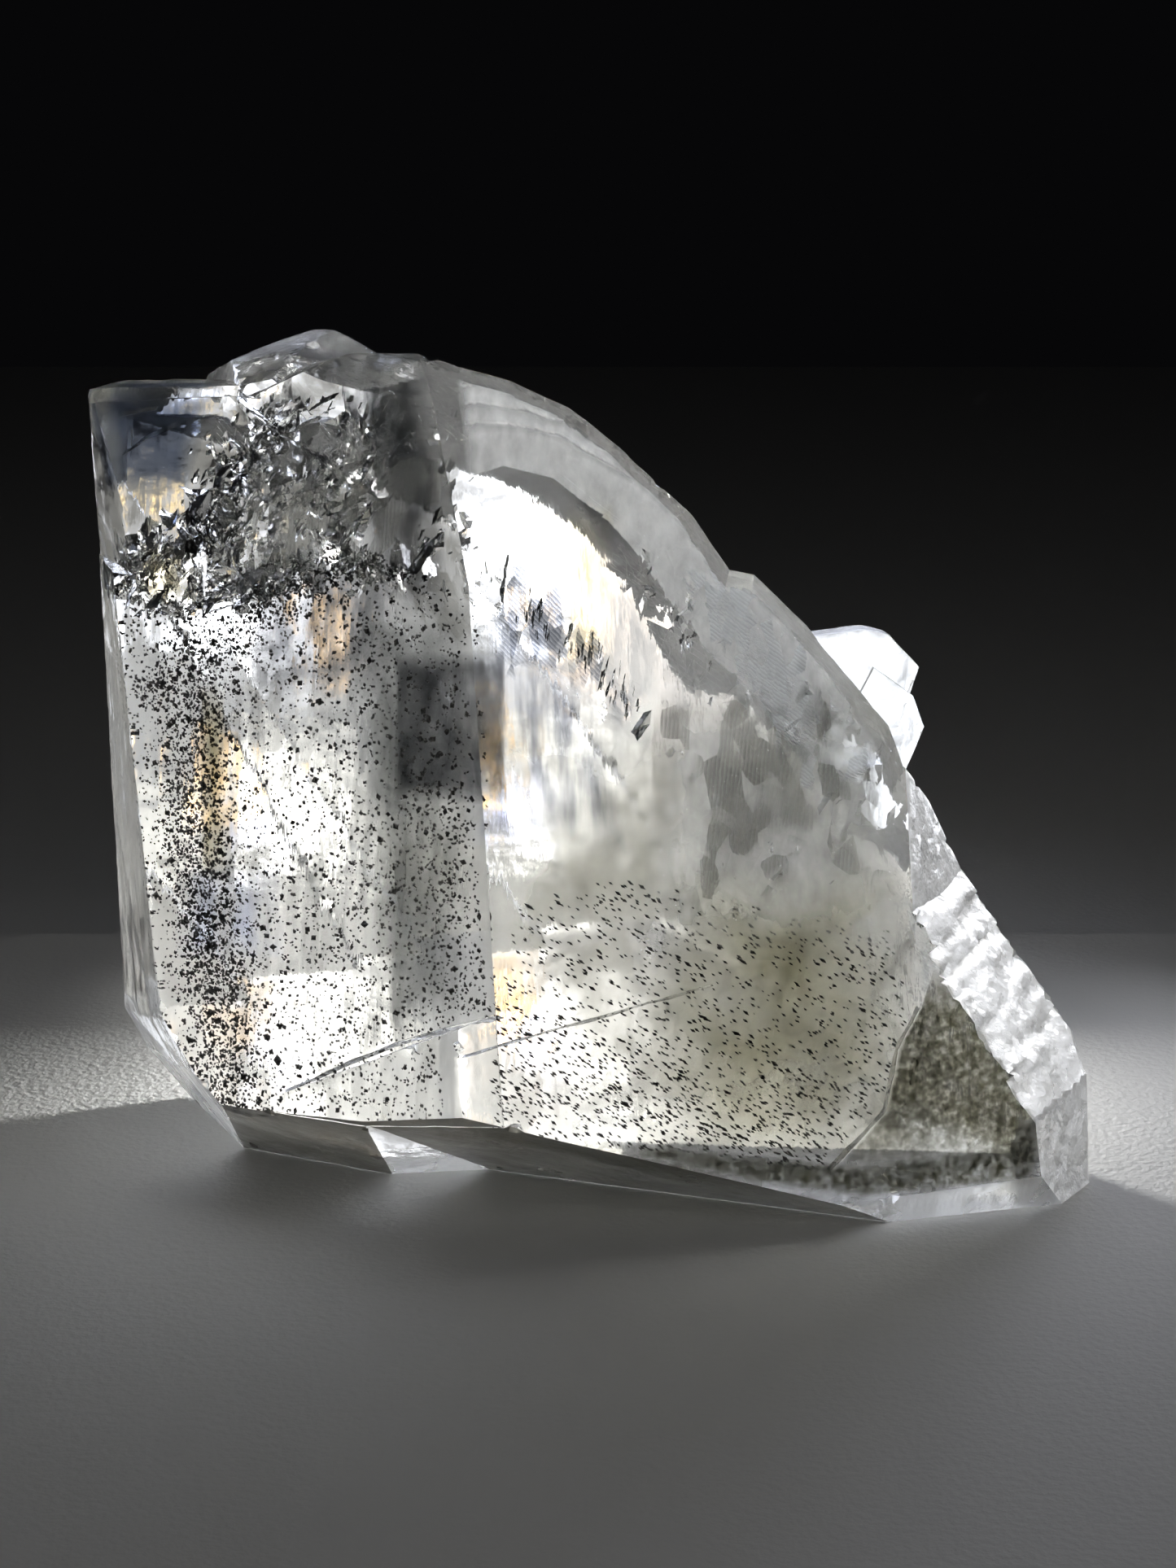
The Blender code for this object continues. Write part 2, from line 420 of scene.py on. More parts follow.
# %% Solve for the moves and chip the edges
# Faces that hardly differ in direction count as one, or a point would slide far along them
HARDLY = 0.15
slot_in_point = np.arange(len(pairs)) - np.searchsorted(pairs[:, 0], pairs[:, 0])
MOST = slot_in_point.max() + 1
rows = np.zeros((len(points), MOST, 3))
wanted = np.zeros((len(points), MOST))
rows[pairs[:, 0], slot_in_point] = NORMALS[pairs[:, 1]]
wanted[pairs[:, 0], slot_in_point] = -sink
alone = np.bincount(pairs[:, 0]) == 1
moves = rows[:, 0] * wanted[:, :1]
moves[~alone] = np.einsum("nij,nj->ni", np.linalg.pinv(rows[~alone], rcond=HARDLY), wanted[~alone])
EDGE_POINTS = np.nonzero(~alone)[0]
edge_place = points[EDGE_POINTS]
chips = 0.05 + 0.12 * np.clip(rough(edge_place, 2.2, 61), 0, 1) + 0.3 * (noise(edge_place, 1.1, 62) > 0.72)
on_left, on_right, standing = [
    np.isin(EDGE_POINTS, pairs[kind_of[kind], 0]) for kind in ("front_left", "front_right", "base")
]
# The edge between the two fronts is nearly perfect, and the stone stands on the edges of its base
chips[on_left & on_right] = 0.02
chips[standing] = 0.0
mean_normal = rows[EDGE_POINTS].sum(1)
mean_normal /= np.linalg.norm(mean_normal, axis=1, keepdims=True)
moves[EDGE_POINTS] -= mean_normal * chips[:, None]
points = points + moves
print("points sink by up to", np.linalg.norm(moves, axis=1).max().round(2), "mm")

# %% [markdown]
# ## Cracks inside
# A crack in calcite is a gap filled with air. Where we look at it steeply it hides, and where we look
# at it flatly it mirrors all light, so a cracked zone glitters white beside black. We could paint
# such flashes on sheets, but they would stay bright from every side. So the cracks are real gaps:
# closed lens-like walls inside the solid, which face into the gap, and the shader's refraction does
# the rest. Each gap is wide and thin, with a jagged outline.


# %% Helpers for places inside an outline
def inside_outline(spots, outline):
    """Which spots are inside an outline: a line to their right crosses it an odd number of times."""
    a = np.array(outline, float)
    b = np.roll(a, -1, axis=0)
    x, y = spots[:, :1], spots[:, 1:]
    spans = (a[:, 1] > y) != (b[:, 1] > y)
    with np.errstate(divide="ignore", invalid="ignore"):
        crossing = a[:, 0] + (y - a[:, 1]) / (b[:, 1] - a[:, 1]) * (b[:, 0] - a[:, 0])
    return (spans & (x < crossing)).sum(1) % 2 == 1


def distance_to(spots, line):
    """How far the spots are from a line of several points: the least of those to its parts."""
    line = np.array(line, float)
    a, b = line[:-1], line[1:]
    along = ((spots[:, None] - a) * (b - a)).sum(2) / ((b - a) ** 2).sum(1)
    nearest = a + np.clip(along, 0, 1)[..., None] * (b - a)
    return np.linalg.norm(spots[:, None] - nearest, axis=2).min(1)


def strew(outline, bands, everywhere, count, seed):
    """Random pixels inside an outline. Each band is a line, its width and how sure a spot on it is
    kept; away from it that falls as a bell curve does."""
    random = np.random.default_rng(seed)
    outline = np.array(outline, float)
    spots = outline.min(0) + random.random((count, 2)) * np.ptp(outline, axis=0)
    spots = spots[inside_outline(spots, outline)]
    chance = np.full(len(spots), everywhere)
    for line, width, sure in bands:
        chance = np.maximum(chance, sure * np.exp(-((distance_to(spots, line) / width) ** 2)))
    return spots[random.random(len(spots)) < chance]


square = [(0, 0), (10, 0), (10, 10), (0, 10)]
print("of 1000 spots,", len(strew(square, [([(0, 5), (10, 5)], 2, 1.0)], 0.0, 1000, 1)), "lie near a line")

# %% [markdown]
# A gap must not break through the skin, so first we ask how deep each spot is: a BVH tree finds the
# nearest face of the solid quickly. A splinter is a flat polygon with one point above and one below
# it. A long crack is a ribbon, which needs two walls and a strip that closes them all round.

# %% Shape the gaps
SKIN = BVHTree.FromPolygons(CORNERS.tolist(), TRIANGLES.tolist())


def depth_inside(spots):
    """How far inside the solid each spot is, in mm: the way to the nearest face, less than 0 outside."""
    depths = []
    for spot in spots.tolist():
        nearest, normal, _, distance = SKIN.find_nearest(spot)
        depths.append(distance if (nearest - Vector(spot)).dot(normal) > 0 else -distance)
    return np.array(depths)


# The smallest gap worth having, and half the thickness of the largest, in mm
LEAST_GAP = 0.12
HALF_GAP = 0.05
# Pixels between two points of a long crack
RIBBON_STEP = 9
# Millimetres in a pixel of the photograph, at the crystal
MM_A_PIXEL = 0.0578


def gaps(centres, normals, sizes, seed, drawn_out=1.0, corners=6):
    """Closed gaps like splinters of air: round each centre an uneven polygon lies in the sheet, its
    corners at the size times 0.35 to 1, and one point above and one below its middle close it. The
    walls all face inward."""
    random = np.random.default_rng(seed)
    sizes = np.minimum(sizes, 0.8 * depth_inside(centres) / max(drawn_out, 1.0))
    kept = sizes > LEAST_GAP
    centres, normals, sizes = centres[kept], normals[kept], sizes[kept]
    count = len(centres)
    first = np.cross(normals, (0.3, 0.1, 1.0))
    first /= np.linalg.norm(first, axis=1, keepdims=True)
    second = np.cross(normals, first)
    turn = (np.arange(corners) + 0.7 * random.random((count, corners))) / corners * 2 * np.pi
    radius = sizes[:, None] * (0.35 + 0.65 * random.random((count, corners)))
    flat = first[:, None] * (radius * np.cos(turn))[..., None]
    flat += second[:, None] * (radius * np.sin(turn) * drawn_out)[..., None]
    flat += normals[:, None] * (sizes[:, None] * random.normal(0, 0.06, (count, corners)))[..., None]
    half = normals * np.minimum(HALF_GAP, sizes * 0.1)[:, None]
    spots = centres[:, None] + np.concatenate([flat, half[:, None], -half[:, None]], 1)
    here = np.arange(corners)
    after = (here + 1) % corners
    top, bottom = np.full(corners, corners), np.full(corners, corners + 1)
    one = np.concatenate([np.stack([top, after, here], 1), np.stack([bottom, here, after], 1)])
    shift = np.arange(count)[:, None, None] * (corners + 2)
    return spots.reshape(-1, 3), (one + shift).reshape(-1, 3)


def ribbon_gap(line, face, near_side, far_side, lean, wave, seed, half_thick):
    """A long closed crack that stands under a face. One parameter runs along a line of pixels, the
    other from one depth to another, where the line has moved by `lean` pixels; noise waves it."""
    line = np.array(line, float)
    steps = np.linalg.norm(np.diff(line, axis=0), axis=1)
    reach = np.concatenate([[0], np.cumsum(steps)])
    along = np.linspace(0, reach[-1], max(4, int(reach[-1] / RIBBON_STEP)))
    path = np.column_stack([np.interp(along, reach, line[:, axis]) for axis in (0, 1)])
    levels = np.linspace(0, 1, 6)
    u, v = np.meshgrid(np.arange(len(path)), levels, indexing="ij")
    pixels = path[u.ravel()] + v.ravel()[:, None] * np.array(lean, float)
    lump = np.column_stack([pixels * MM_A_PIXEL, v.ravel() * 2])
    pixels = pixels + wave * np.column_stack([rough(lump, 2.0, seed), rough(lump, 2.0, seed + 7)])
    deep = near_side + (far_side - near_side) * v.ravel()
    middle = seen(pixels, face, deep).reshape(len(path), len(levels), 3)
    across = np.cross(np.gradient(middle, axis=0), np.gradient(middle, axis=1))
    across /= np.linalg.norm(across, axis=2, keepdims=True)
    taper = np.sin(np.pi * (np.arange(len(path)) + 0.5) / len(path))[:, None] * np.ones(len(levels))
    half = across * (0.3 + 0.7 * taper)[..., None] * half_thick
    count = middle.shape[0] * middle.shape[1]
    spots = np.concatenate([(middle + half).reshape(-1, 3), (middle - half).reshape(-1, 3)])
    grid = np.arange(count).reshape(middle.shape[:2])
    a, b = grid[:-1, :-1].ravel(), grid[1:, :-1].ravel()
    c, d = grid[1:, 1:].ravel(), grid[:-1, 1:].ravel()
    front = np.concatenate([np.stack([a, c, b], 1), np.stack([a, d, c], 1)])
    loop = np.concatenate([grid[:-1, 0], grid[-1, :-1], grid[:0:-1, -1], grid[0, :0:-1]])
    after = np.roll(loop, -1)
    side = [np.stack([loop, after, after + count], 1), np.stack([loop, after + count, loop + count], 1)]
    walls = np.concatenate([front, front[:, ::-1] + count, *side])
    return spots, walls


def near(way, count, spread, seed):
    """Unit vectors scattered round one way."""
    spread_out = way + np.random.default_rng(seed).normal(0, spread, (count, 3))
    return spread_out / np.linalg.norm(spread_out, axis=1, keepdims=True)


def gap_field(zone, everywhere, tries, depth, size, way, spread, seed, **shape):
    """Gaps strewn over a zone, at depths between two values, with sizes round a middle one."""
    outline, bands, face = zone
    pixels = strew(outline, bands, everywhere, tries, seed)
    random = np.random.default_rng(seed + 1)
    centres = seen(pixels, face, depth[0] + (depth[1] - depth[0]) * random.random(len(pixels)))
    sizes = size * np.exp(np.clip(random.normal(0.0, 0.5, len(pixels)), -1.5, 0.9))
    return gaps(centres, near(way, len(pixels), spread, seed + 2), sizes, seed + 3, **shape)


centre = seen(PHOTO_SIZE / 2, FRONT_RIGHT, 5.0)
print("one splinter has", len(gaps(centre, FORWARD[None], np.ones(1), 0)[1]), "triangles")

# %% [markdown]
# On the specimen the cracks crowd into three zones: a broken layer under the sunk shelf, a torn patch
# below the slope, and a comb of fine teeth along the bright spot. They follow calcite's three
# cleavages, so each field of splinters takes one of those ways. The pixels are read off the photograph.

# %% Where the cracks are
SHELF_OUTLINE = [
    (215, 500), (330, 480), (530, 500), (575, 700), (420, 740), (170, 760), (140, 690), (240, 600),
]
SHELF_BANDS = [
    ([(250, 640), (330, 540), (370, 500)], 26, 0.8),
    ([(160, 700), (260, 650), (330, 600), (400, 600)], 35, 0.9),
    ([(180, 760), (300, 720), (420, 680)], 22, 0.9),
    ([(430, 520), (460, 600), (400, 680)], 25, 0.5),
]
SLOPE_OUTLINE = [
    (575, 560), (700, 560), (900, 720), (1110, 950), (1110, 1130), (900, 1110), (800, 900), (600, 800),
]
SLOPE_BANDS = [
    ([(820, 700), (870, 800), (960, 860), (1080, 900)], 32, 0.9),
    ([(900, 1090), (980, 1050), (1020, 980)], 28, 0.8),
    ([(800, 900), (880, 960), (1000, 940)], 30, 0.4),
]
TEETH_BANDS = [([(575, 690), (650, 745), (700, 790), (770, 860)], 14, 1.0)]
SHELF_CRACK = [(290, 490), (345, 535), (402, 572)]
SHELF_SCRATCH = [(148, 512), (168, 508), (192, 505)]
CORNER_SCRATCH = [(150, 562), (180, 540), (216, 524)]
LEFT_CRACK = [(350, 1340), (430, 1303), (502, 1276), (606, 1247)]
RIGHT_CRACK = [(571, 1297), (700, 1259), (875, 1209)]
CLOUD_CRACK = [(1131, 1240), (1105, 1287), (1089, 1366), (1021, 1439)]
SHELF = (SHELF_OUTLINE, SHELF_BANDS, FRONT_LEFT)
SLOPE = (SLOPE_OUTLINE, SLOPE_BANDS, FRONT_RIGHT)
TEETH = (SLOPE_OUTLINE, TEETH_BANDS, FRONT_RIGHT)
CLEAVAGE = (looks(-50, 42), looks(52, 25), looks(10, -48))
TOOTH_WAY = looks(-50, 5)

fields = [
    gap_field(SHELF, 0.1, 1500, (1.5, 8), 0.55, CLEAVAGE[0], 0.3, 100, drawn_out=1.8),
    gap_field(SHELF, 0.1, 300, (3, 12), 1.3, CLEAVAGE[1], 0.25, 110, corners=9),
    gap_field(SHELF, 0.06, 1200, (1.5, 8), 0.45, CLEAVAGE[2], 0.3, 120, drawn_out=2.0),
    gap_field(SLOPE, 0.03, 700, (1.2, 6), 0.35, CLEAVAGE[0], 0.3, 130, drawn_out=2.0),
    gap_field(SLOPE, 0.03, 450, (1.5, 7), 0.45, CLEAVAGE[1], 0.3, 140, drawn_out=1.5),
    gap_field(TEETH, 0.0, 2600, (0.8, 2.0), 0.22, TOOTH_WAY, 0.12, 150, drawn_out=4.0),
    ribbon_gap(SHELF_CRACK, FRONT_LEFT, 1.0, 2.6, (4, -7), 2, 160, 0.03),
    ribbon_gap(SHELF_SCRATCH, FRONT_LEFT, 0.8, 2.0, (2, -5), 2, 161, 0.03),
    ribbon_gap(CORNER_SCRATCH, FRONT_LEFT, 0.8, 2.2, (2, -6), 2, 162, 0.03),
    ribbon_gap(LEFT_CRACK, FRONT_LEFT, 1.2, 2.6, (2, 4), 2, 165, 0.02),
    ribbon_gap(RIGHT_CRACK, FRONT_RIGHT, 1.5, 2.6, (1, 3), 2, 166, 0.02),
    ribbon_gap(CLOUD_CRACK, FRONT_RIGHT, 0.8, 1.8, (-4, -2), 3, 169, 0.03),
]
gap_points = np.concatenate([spots for spots, _ in fields])
starts = np.cumsum([0] + [len(spots) for spots, _ in fields])
gap_faces = np.concatenate([walls + start for (_, walls), start in zip(fields, starts)])
print("gaps have", len(gap_faces), "triangles")

# %% [markdown]
# Now the skin and the gaps become one mesh, because together they bound the solid calcite. Each flat
# face gets the finish of its kind, and the skin has a value for how matt its etching is: the left of
# the back is clear enough to show the lamps, and the right is milky.

# %% Make the crystal
everything = np.concatenate([points, gap_points])
walls = np.concatenate([faces, gap_faces + len(points)])
crystal = add_mesh("crystal_surface", everything, walls, True)
mesh = crystal.data
# Bends sharper than this, in degrees, stay sharp
mesh.set_sharp_from_angle(angle=np.radians(28))
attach(crystal, "root")
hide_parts("calcite_crystal")
CLEAR, ETCHED, RAGGED, MATT, SHADED_UNDERSIDE = range(5)
finish_of = np.full(len(PLANES), CLEAR, dtype=np.int32)
finish_of[KIND["back"]] = ETCHED
finish_of[KIND["rim"] | KIND["right_end"]] = RAGGED
finish_of[KIND["base"] | (NORMALS[:, 2] < -0.4)] = MATT
# The low front faces get a dark olive tint: painted shade, for the shaded board that they look at
LOW_FRONT = faces_like(-14.0, -52.6) | faces_like(-24.6, -51.3) | faces_like(-18.9, -59.4, 3.0)
finish_of[LOW_FRONT] = SHADED_UNDERSIDE
finishes = np.concatenate([finish_of[owner], np.full(len(gap_faces), CLEAR, np.int32)])
mesh.polygons.foreach_set("material_index", finishes)
mesh.polygons.foreach_set("use_smooth", np.arange(len(walls)) < len(faces))
print("the crystal has", len(mesh.polygons), "triangles; of each finish:", np.bincount(finishes))

# %% [markdown]
# Two values at each point tell the finishes how they change over the stone. `etch` is how matt the back
# is. `broken` is where the front faces are torn: along a few lines that are read off the photograph,
# it rises to 1, and it is 0 where the growth face is whole. A painted mask would do the same by hand.

# %% How matt and how broken each point is
# Milky from the middle rightwards, and less so towards the top
milky = np.clip((everything[:, 0] + 12) / 16, 0, 1) * np.clip((62 - everything[:, 2]) / 20, 0.2, 1)
etch = 0.17 + 0.24 * milky + 0.08 * rough(everything, 5.0, 71)
BROKEN_LEFT = [
    ([(330, 520), (370, 600), (330, 690)], 45, 1.0),
    ([(200, 705), (300, 665), (400, 640)], 36, 1.0),
    ([(420, 570), (480, 520)], 30, 0.7),
    ([(500, 700), (560, 760)], 24, 0.6),
]
BROKEN_RIGHT = [
    ([(820, 690), (880, 790), (970, 860), (1060, 930), (1115, 1010)], 46, 1.0),
    ([(880, 1060), (960, 1000), (1040, 960)], 60, 0.8),
    ([(570, 490), (680, 520), (800, 620), (880, 720)], 46, 0.45),
    ([(575, 700), (650, 760), (710, 810), (760, 860)], 24, 0.9),
    ([(1120, 1010), (1130, 1120), (1180, 1190)], 26, 0.9),
]
on_screen = pixels_of(everything)
turned = np.zeros((len(everything), 3))
np.add.at(turned, pairs[:, 0], NORMALS[pairs[:, 1]])
broken = np.zeros(len(everything))
for bands, way in ((BROKEN_LEFT, FRONT_LEFT[0]), (BROKEN_RIGHT, FRONT_RIGHT[0])):
    facing = turned @ way > 0.9 * np.linalg.norm(turned, axis=1)
    for line, width, sure in bands:
        amount = sure * np.exp(-((distance_to(on_screen, line) / width) ** 2)) * facing
        broken = np.maximum(broken, amount)
broken = np.clip(broken * (1.0 + 0.5 * rough(everything, 1.5, 72)) * 1.5 - 0.2, 0, 1)
for name, values in (("etch", etch), ("broken", broken)):
    mesh.attributes.new(name, "FLOAT", "POINT").data.foreach_set("value", values.astype(np.float32))
    print(name, "runs from", values.min().round(2), "to", values.max().round(2))

# %% [markdown]
# ## Clear calcite
# Calcite is see-through, with an IOR of 1.49 to 1.66, so 1.6 on average. Its front faces grew smooth,
# with fine upright lines. The back is etched and matt, which spreads the light that comes through and
# gives the stone its milky glow. Both are the same clear shader with other roughness and bump. A faint
# warm tint, taken at each face that the light crosses, stands for the thickness of the stone.


# %% Patterns that the finishes share
ADD = {"operation": "ADD"}
SUBTRACT = {"operation": "SUBTRACT"}
MULTIPLY = {"operation": "MULTIPLY"}
DOT = {"operation": "DOT_PRODUCT"}
# A wave texture of scale 1 repeats after this much
WAVE = 0.314


def placed(material, stretch=(1, 1, 1), turn=(0, 0, 0)):
    """Object coordinates, stretched and turned, for a pattern to be laid on."""
    where = add_node(material, "ShaderNodeTexCoord").outputs["Object"]
    return add_node(material, "ShaderNodeMapping", {"Scale": stretch, "Rotation": turn}, where)


def pattern(material, scale, stretch=(1, 1, 1), turn=(0, 0, 0), detail=3.0, low=0.0, high=1.0):
    """Noise of `scale` bumps in a metre, moved into a range."""
    settings = {"Scale": scale, "Detail": detail}
    texture = add_node(material, "ShaderNodeTexNoise", settings, placed(material, stretch, turn))
    # Noise hardly ever leaves this part of 0 to 1
    limits = {"From Min": 0.3, "From Max": 0.7, "To Min": low, "To Max": high}
    return add_node(material, "ShaderNodeMapRange", limits, texture)


def layered(material, *heights):
    """Reliefs or masks laid over each other: the sum of their heights."""
    total = heights[0]
    for height in heights[1:]:
        total = add_node(material, "ShaderNodeMath", ADD, total, height)
    return total


def flakes(material, scale, tilt, stretch=(1, 1, 1), turn=(0, 0, 0)):
    """Relief of flat flakes: space is cut in Voronoi cells, and each one is a plane that leans its
    own way. Height = tilt times the cell's random vector, dot the way from the cell's middle."""
    spot = placed(material, stretch, turn)
    cells = add_node(material, "ShaderNodeTexVoronoi", {"Scale": scale}, spot)
    offset = add_node(material, "ShaderNodeVectorMath", SUBTRACT, spot, cells.outputs["Position"])
    lean = add_node(material, "ShaderNodeVectorMath", SUBTRACT, cells.outputs["Color"], (0.5, 0.5, 0.5))
    height = add_node(material, "ShaderNodeVectorMath", DOT, offset, lean).outputs["Value"]
    return add_node(material, "ShaderNodeMath", MULTIPLY, height, tilt)


def combs(material, spacing, height, turn):
    """Saw-tooth lines, so many mm apart, along one way: the edges of stacked cleavage plates."""
    saw = {"wave_profile": "SAW", "Scale": WAVE / (spacing * MM), "Distortion": 1.5, "Detail Scale": 2.0}
    waves = add_node(material, "ShaderNodeTexWave", saw, placed(material, turn=turn))
    return add_node(material, "ShaderNodeMath", MULTIPLY, waves.outputs["Fac"], height * MM)


print("a comb of 0.35 mm has a wave scale of", round(WAVE / (0.35 * MM)))

# %% [markdown]
# Now each kind of face as one shader, whose roughness and relief are given to it. The heights are real
# ones in metres: growth lines are about 0.02 mm high, etched hills 0.1 mm. A growth face mirrors like
# glass, an etched one blurs what is behind it, and a torn one sparkles, because each flake leans its
# own way.


# %% The finishes of one clear mineral
def clear_calcite(name, roughness, relief, tint="#fbfbf8", through=1.0):
    """Clear calcite. Its roughness and its relief, in metres, each come from a function of the material."""
    material = new_material(name)
    bump = add_node(material, "ShaderNodeBump", {"Strength": 1.0, "Distance": 1.0}, Height=relief(material))
    settings = {"Base Color": colour(tint), "Transmission Weight": through, "IOR": CALCITE_IOR}
    shader = add_node(
        material, "ShaderNodeBsdfPrincipled", settings, Roughness=roughness(material), Normal=bump
    )
    crystal.data.materials.append(finished(material, shader))
    print(name, "has", len(material.node_tree.nodes), "nodes")


def growth_relief(material):
    """Fine upright lines everywhere, and flakes and combs where the face is broken."""
    lines = pattern(material, 900, (1, 1, 0.04), high=0.018 * MM)
    ripples = pattern(material, 250, (1, 1, 0.4), detail=5.0, high=0.03 * MM)
    torn = layered(
        material,
        flakes(material, 480, 0.45, (1, 1, 0.6), (0.3, 0.5, 0.2)),
        flakes(material, 1100, 0.25, (1, 1, 0.5), (0.2, -0.6, 0.1)),
        combs(material, 0.35, 0.05, (0.0, 0.9, 0.3)),
    )
    broken_here = add_node(material, "ShaderNodeAttribute", {"attribute_name": "broken"}).outputs["Fac"]
    torn = add_node(material, "ShaderNodeMath", MULTIPLY, torn, broken_here)
    return layered(material, lines, ripples, torn)


def etched_relief(material):
    """Etched hills: small cells that each rise to a ridge, uneven noise, and fine upright lines."""
    cells = add_node(material, "ShaderNodeTexVoronoi", {"Scale": 420.0}, placed(material))
    return layered(
        material,
        pattern(material, 700, (1, 1, 0.05), high=0.06 * MM),
        pattern(material, 260, detail=6.0, high=0.08 * MM),
        add_node(material, "ShaderNodeMath", MULTIPLY, cells, 0.06 * MM),
    )


def torn_relief(material):
    """A torn edge: slanted cleavage plates and their combs."""
    return layered(
        material,
        flakes(material, 1100, 0.3, (0.45, 1, 1), (0.2, 0.8, 0.9)),
        combs(material, 0.4, 0.12, (0.0, 0.75, 0.6)),
        pattern(material, 900, (0.3, 1, 1), (0, 0.8, 0.9), detail=4.0, high=0.12 * MM),
    )


# Glassy and lined: what lies inside shows through it, a little drawn out upwards
clear_calcite(
    "growth_face_of_clear_calcite", lambda m: pattern(m, 300, (1, 1, 0.1), low=0.03, high=0.1), growth_relief
)
# Frosted: the lamps behind it melt into soft pools of light
clear_calcite(
    "etched_back_of_clear_calcite",
    lambda m: add_node(m, "ShaderNodeAttribute", {"attribute_name": "etch"}).outputs["Fac"],
    etched_relief,
)
# Bright and splintered, partly white from countless small cracks
clear_calcite(
    "ragged_rim_of_clear_calcite", lambda m: pattern(m, 400, low=0.2, high=0.45), torn_relief, "#ffffff", 0.35
)
# Ground by what it stood on: dull, but still clear
clear_calcite("matt_underside_of_calcite", lambda m: pattern(m, 200, low=0.2, high=0.4), etched_relief)
# Painted shade: the low front faces, which look down at the shaded board, are tinted dark olive. Light
# crosses the tint as its square root
clear_calcite(
    "underside_of_calcite_painted_dark",
    lambda m: pattern(m, 200, low=0.25, high=0.45),
    etched_relief,
    "#25241f",
    0.93,
)

# %% [markdown]
# ## Black grains
# Thousands of black grains, a few tenths of a millimetre wide, settled on faces that the crystal had
# when it was smaller, and were grown over. They lie in one layer a few millimetres under the left front
# face, thickest in an upright band and in a slanting one. A particle system could strew them, but it
# can't follow those bands as simply as a few lines of numpy: we try random places and keep each one by
# chance, the more likely the nearer it is to a band. Each grain is an octahedron, flattened like a
# flake and turned at random, all joined into one mesh.


# %% Strew the grains
OCTAHEDRON = np.array([[1, 0, 0], [-1, 0, 0], [0, 1, 0], [0, -1, 0], [0, 0, 1], [0, 0, -1]], float)
OCTAHEDRON_FACES = np.array(
    [[0, 2, 4], [2, 1, 4], [1, 3, 4], [3, 0, 4], [2, 0, 5], [1, 2, 5], [3, 1, 5], [0, 3, 5]]
)


def copies(shape, shape_faces, places, axes):
    """One mesh of many copies: each point is a place plus the shape's point times three axes."""
    spots = places[:, None] + np.einsum("pi,nij->npj", shape, axes)
    shift = np.arange(len(places))[:, None, None] * len(shape)
    return spots.reshape(-1, 3), (shape_faces + shift).reshape(-1, shape_faces.shape[1])


def axes_near(normal, count, sizes, spread, random):
    """Three axes for each copy: the third near a normal, the others turned at random round it."""
    third = normal + random.normal(0, spread, (count, 3))
    third /= np.linalg.norm(third, axis=1, keepdims=True)
    first = np.cross(third, random.normal(0, 1, (count, 3)))
    first /= np.linalg.norm(first, axis=1, keepdims=True)
    second = np.cross(third, first)
    return np.stack([first, second, third], 1) * sizes[:, :, None]


def put(name, spots, shape_faces, material, smooth=False):
    """A piece of the crystal's inside: a mesh with its finish, which rides with the crystal."""
    piece = add_mesh(name, spots, shape_faces, smooth)
    piece.data.materials.append(material)
    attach(piece, "root")
    print(name, "has", len(shape_faces), "faces")
    return piece


LEFT_PART = [
    (135, 735), (300, 700), (420, 660), (568, 730), (598, 1240), (552, 1255), (556, 1380), (350, 1366),
    (290, 1370), (215, 1310), (165, 1225),
]
GRAIN_BANDS = [
    ([(245, 800), (235, 1000), (265, 1200), (285, 1350)], 42, 1.0),
    ([(190, 850), (300, 770), (400, 705), (500, 690)], 26, 0.9),
    ([(540, 980), (560, 1130), (540, 1260)], 60, 0.25),
]
# Half the width of a typical grain in mm, a grain's proportions, and the least room to the skin
TYPICAL_GRAIN = 0.12
FLAKE = (1.0, 0.8, 0.4)
GRAIN_MARGIN = 0.4
random = np.random.default_rng(5)
pixels = strew(LEFT_PART, GRAIN_BANDS, 0.16, 46000, 3)
waves = noise(np.column_stack([pixels / 60, pixels[:, 0] * 0]), 1.0, 5)
depths = 2.6 + 1.0 * waves + random.random(len(pixels)) * 0.8
sizes = np.exp(random.normal(np.log(TYPICAL_GRAIN), 0.38, len(pixels)))[:, None] * FLAKE
places = seen(pixels, FRONT_LEFT, depths)
held = depth_inside(places) > GRAIN_MARGIN
places, sizes = places[held], sizes[held]
turns = axes_near(FRONT_LEFT[0], len(places), sizes, 0.35, random)
grain_points, grain_faces = copies(OCTAHEDRON, OCTAHEDRON_FACES, places, turns)

# Sulphide: nearly black, with a dull shine that makes a few grains glint
grain_finish = new_material("black_grains_of_sulphide")
darks = {"data_type": "RGBA", 6: colour("#0d0d0c"), 7: colour("#2c2a24")}
black = add_node(grain_finish, "ShaderNodeMix", darks, pattern(grain_finish, 900)).outputs[2]
shine = {"Roughness": 0.45, "Specular IOR Level": 0.3}
grain_shader = add_node(grain_finish, "ShaderNodeBsdfPrincipled", shine, black)
put("black_grains", grain_points, grain_faces, finished(grain_finish, grain_shader))

# %% [markdown]
# Behind the right front face the grains are fewer, and drawn out into short dashes that all slant down
# to the right, along a growth line. They could be boxes, but the same octahedron, stretched one way and
# squeezed in the others, gives their pointed ends.

# %% Lay the dashes
RIGHT_PART = [
    (640, 1110), (760, 1080), (1090, 1140), (1120, 1240), (1080, 1360), (1000, 1440), (600, 1390),
    (610, 1220),
]
DASH_BANDS = [([(650, 1330), (1000, 1400)], 110, 0.3)]
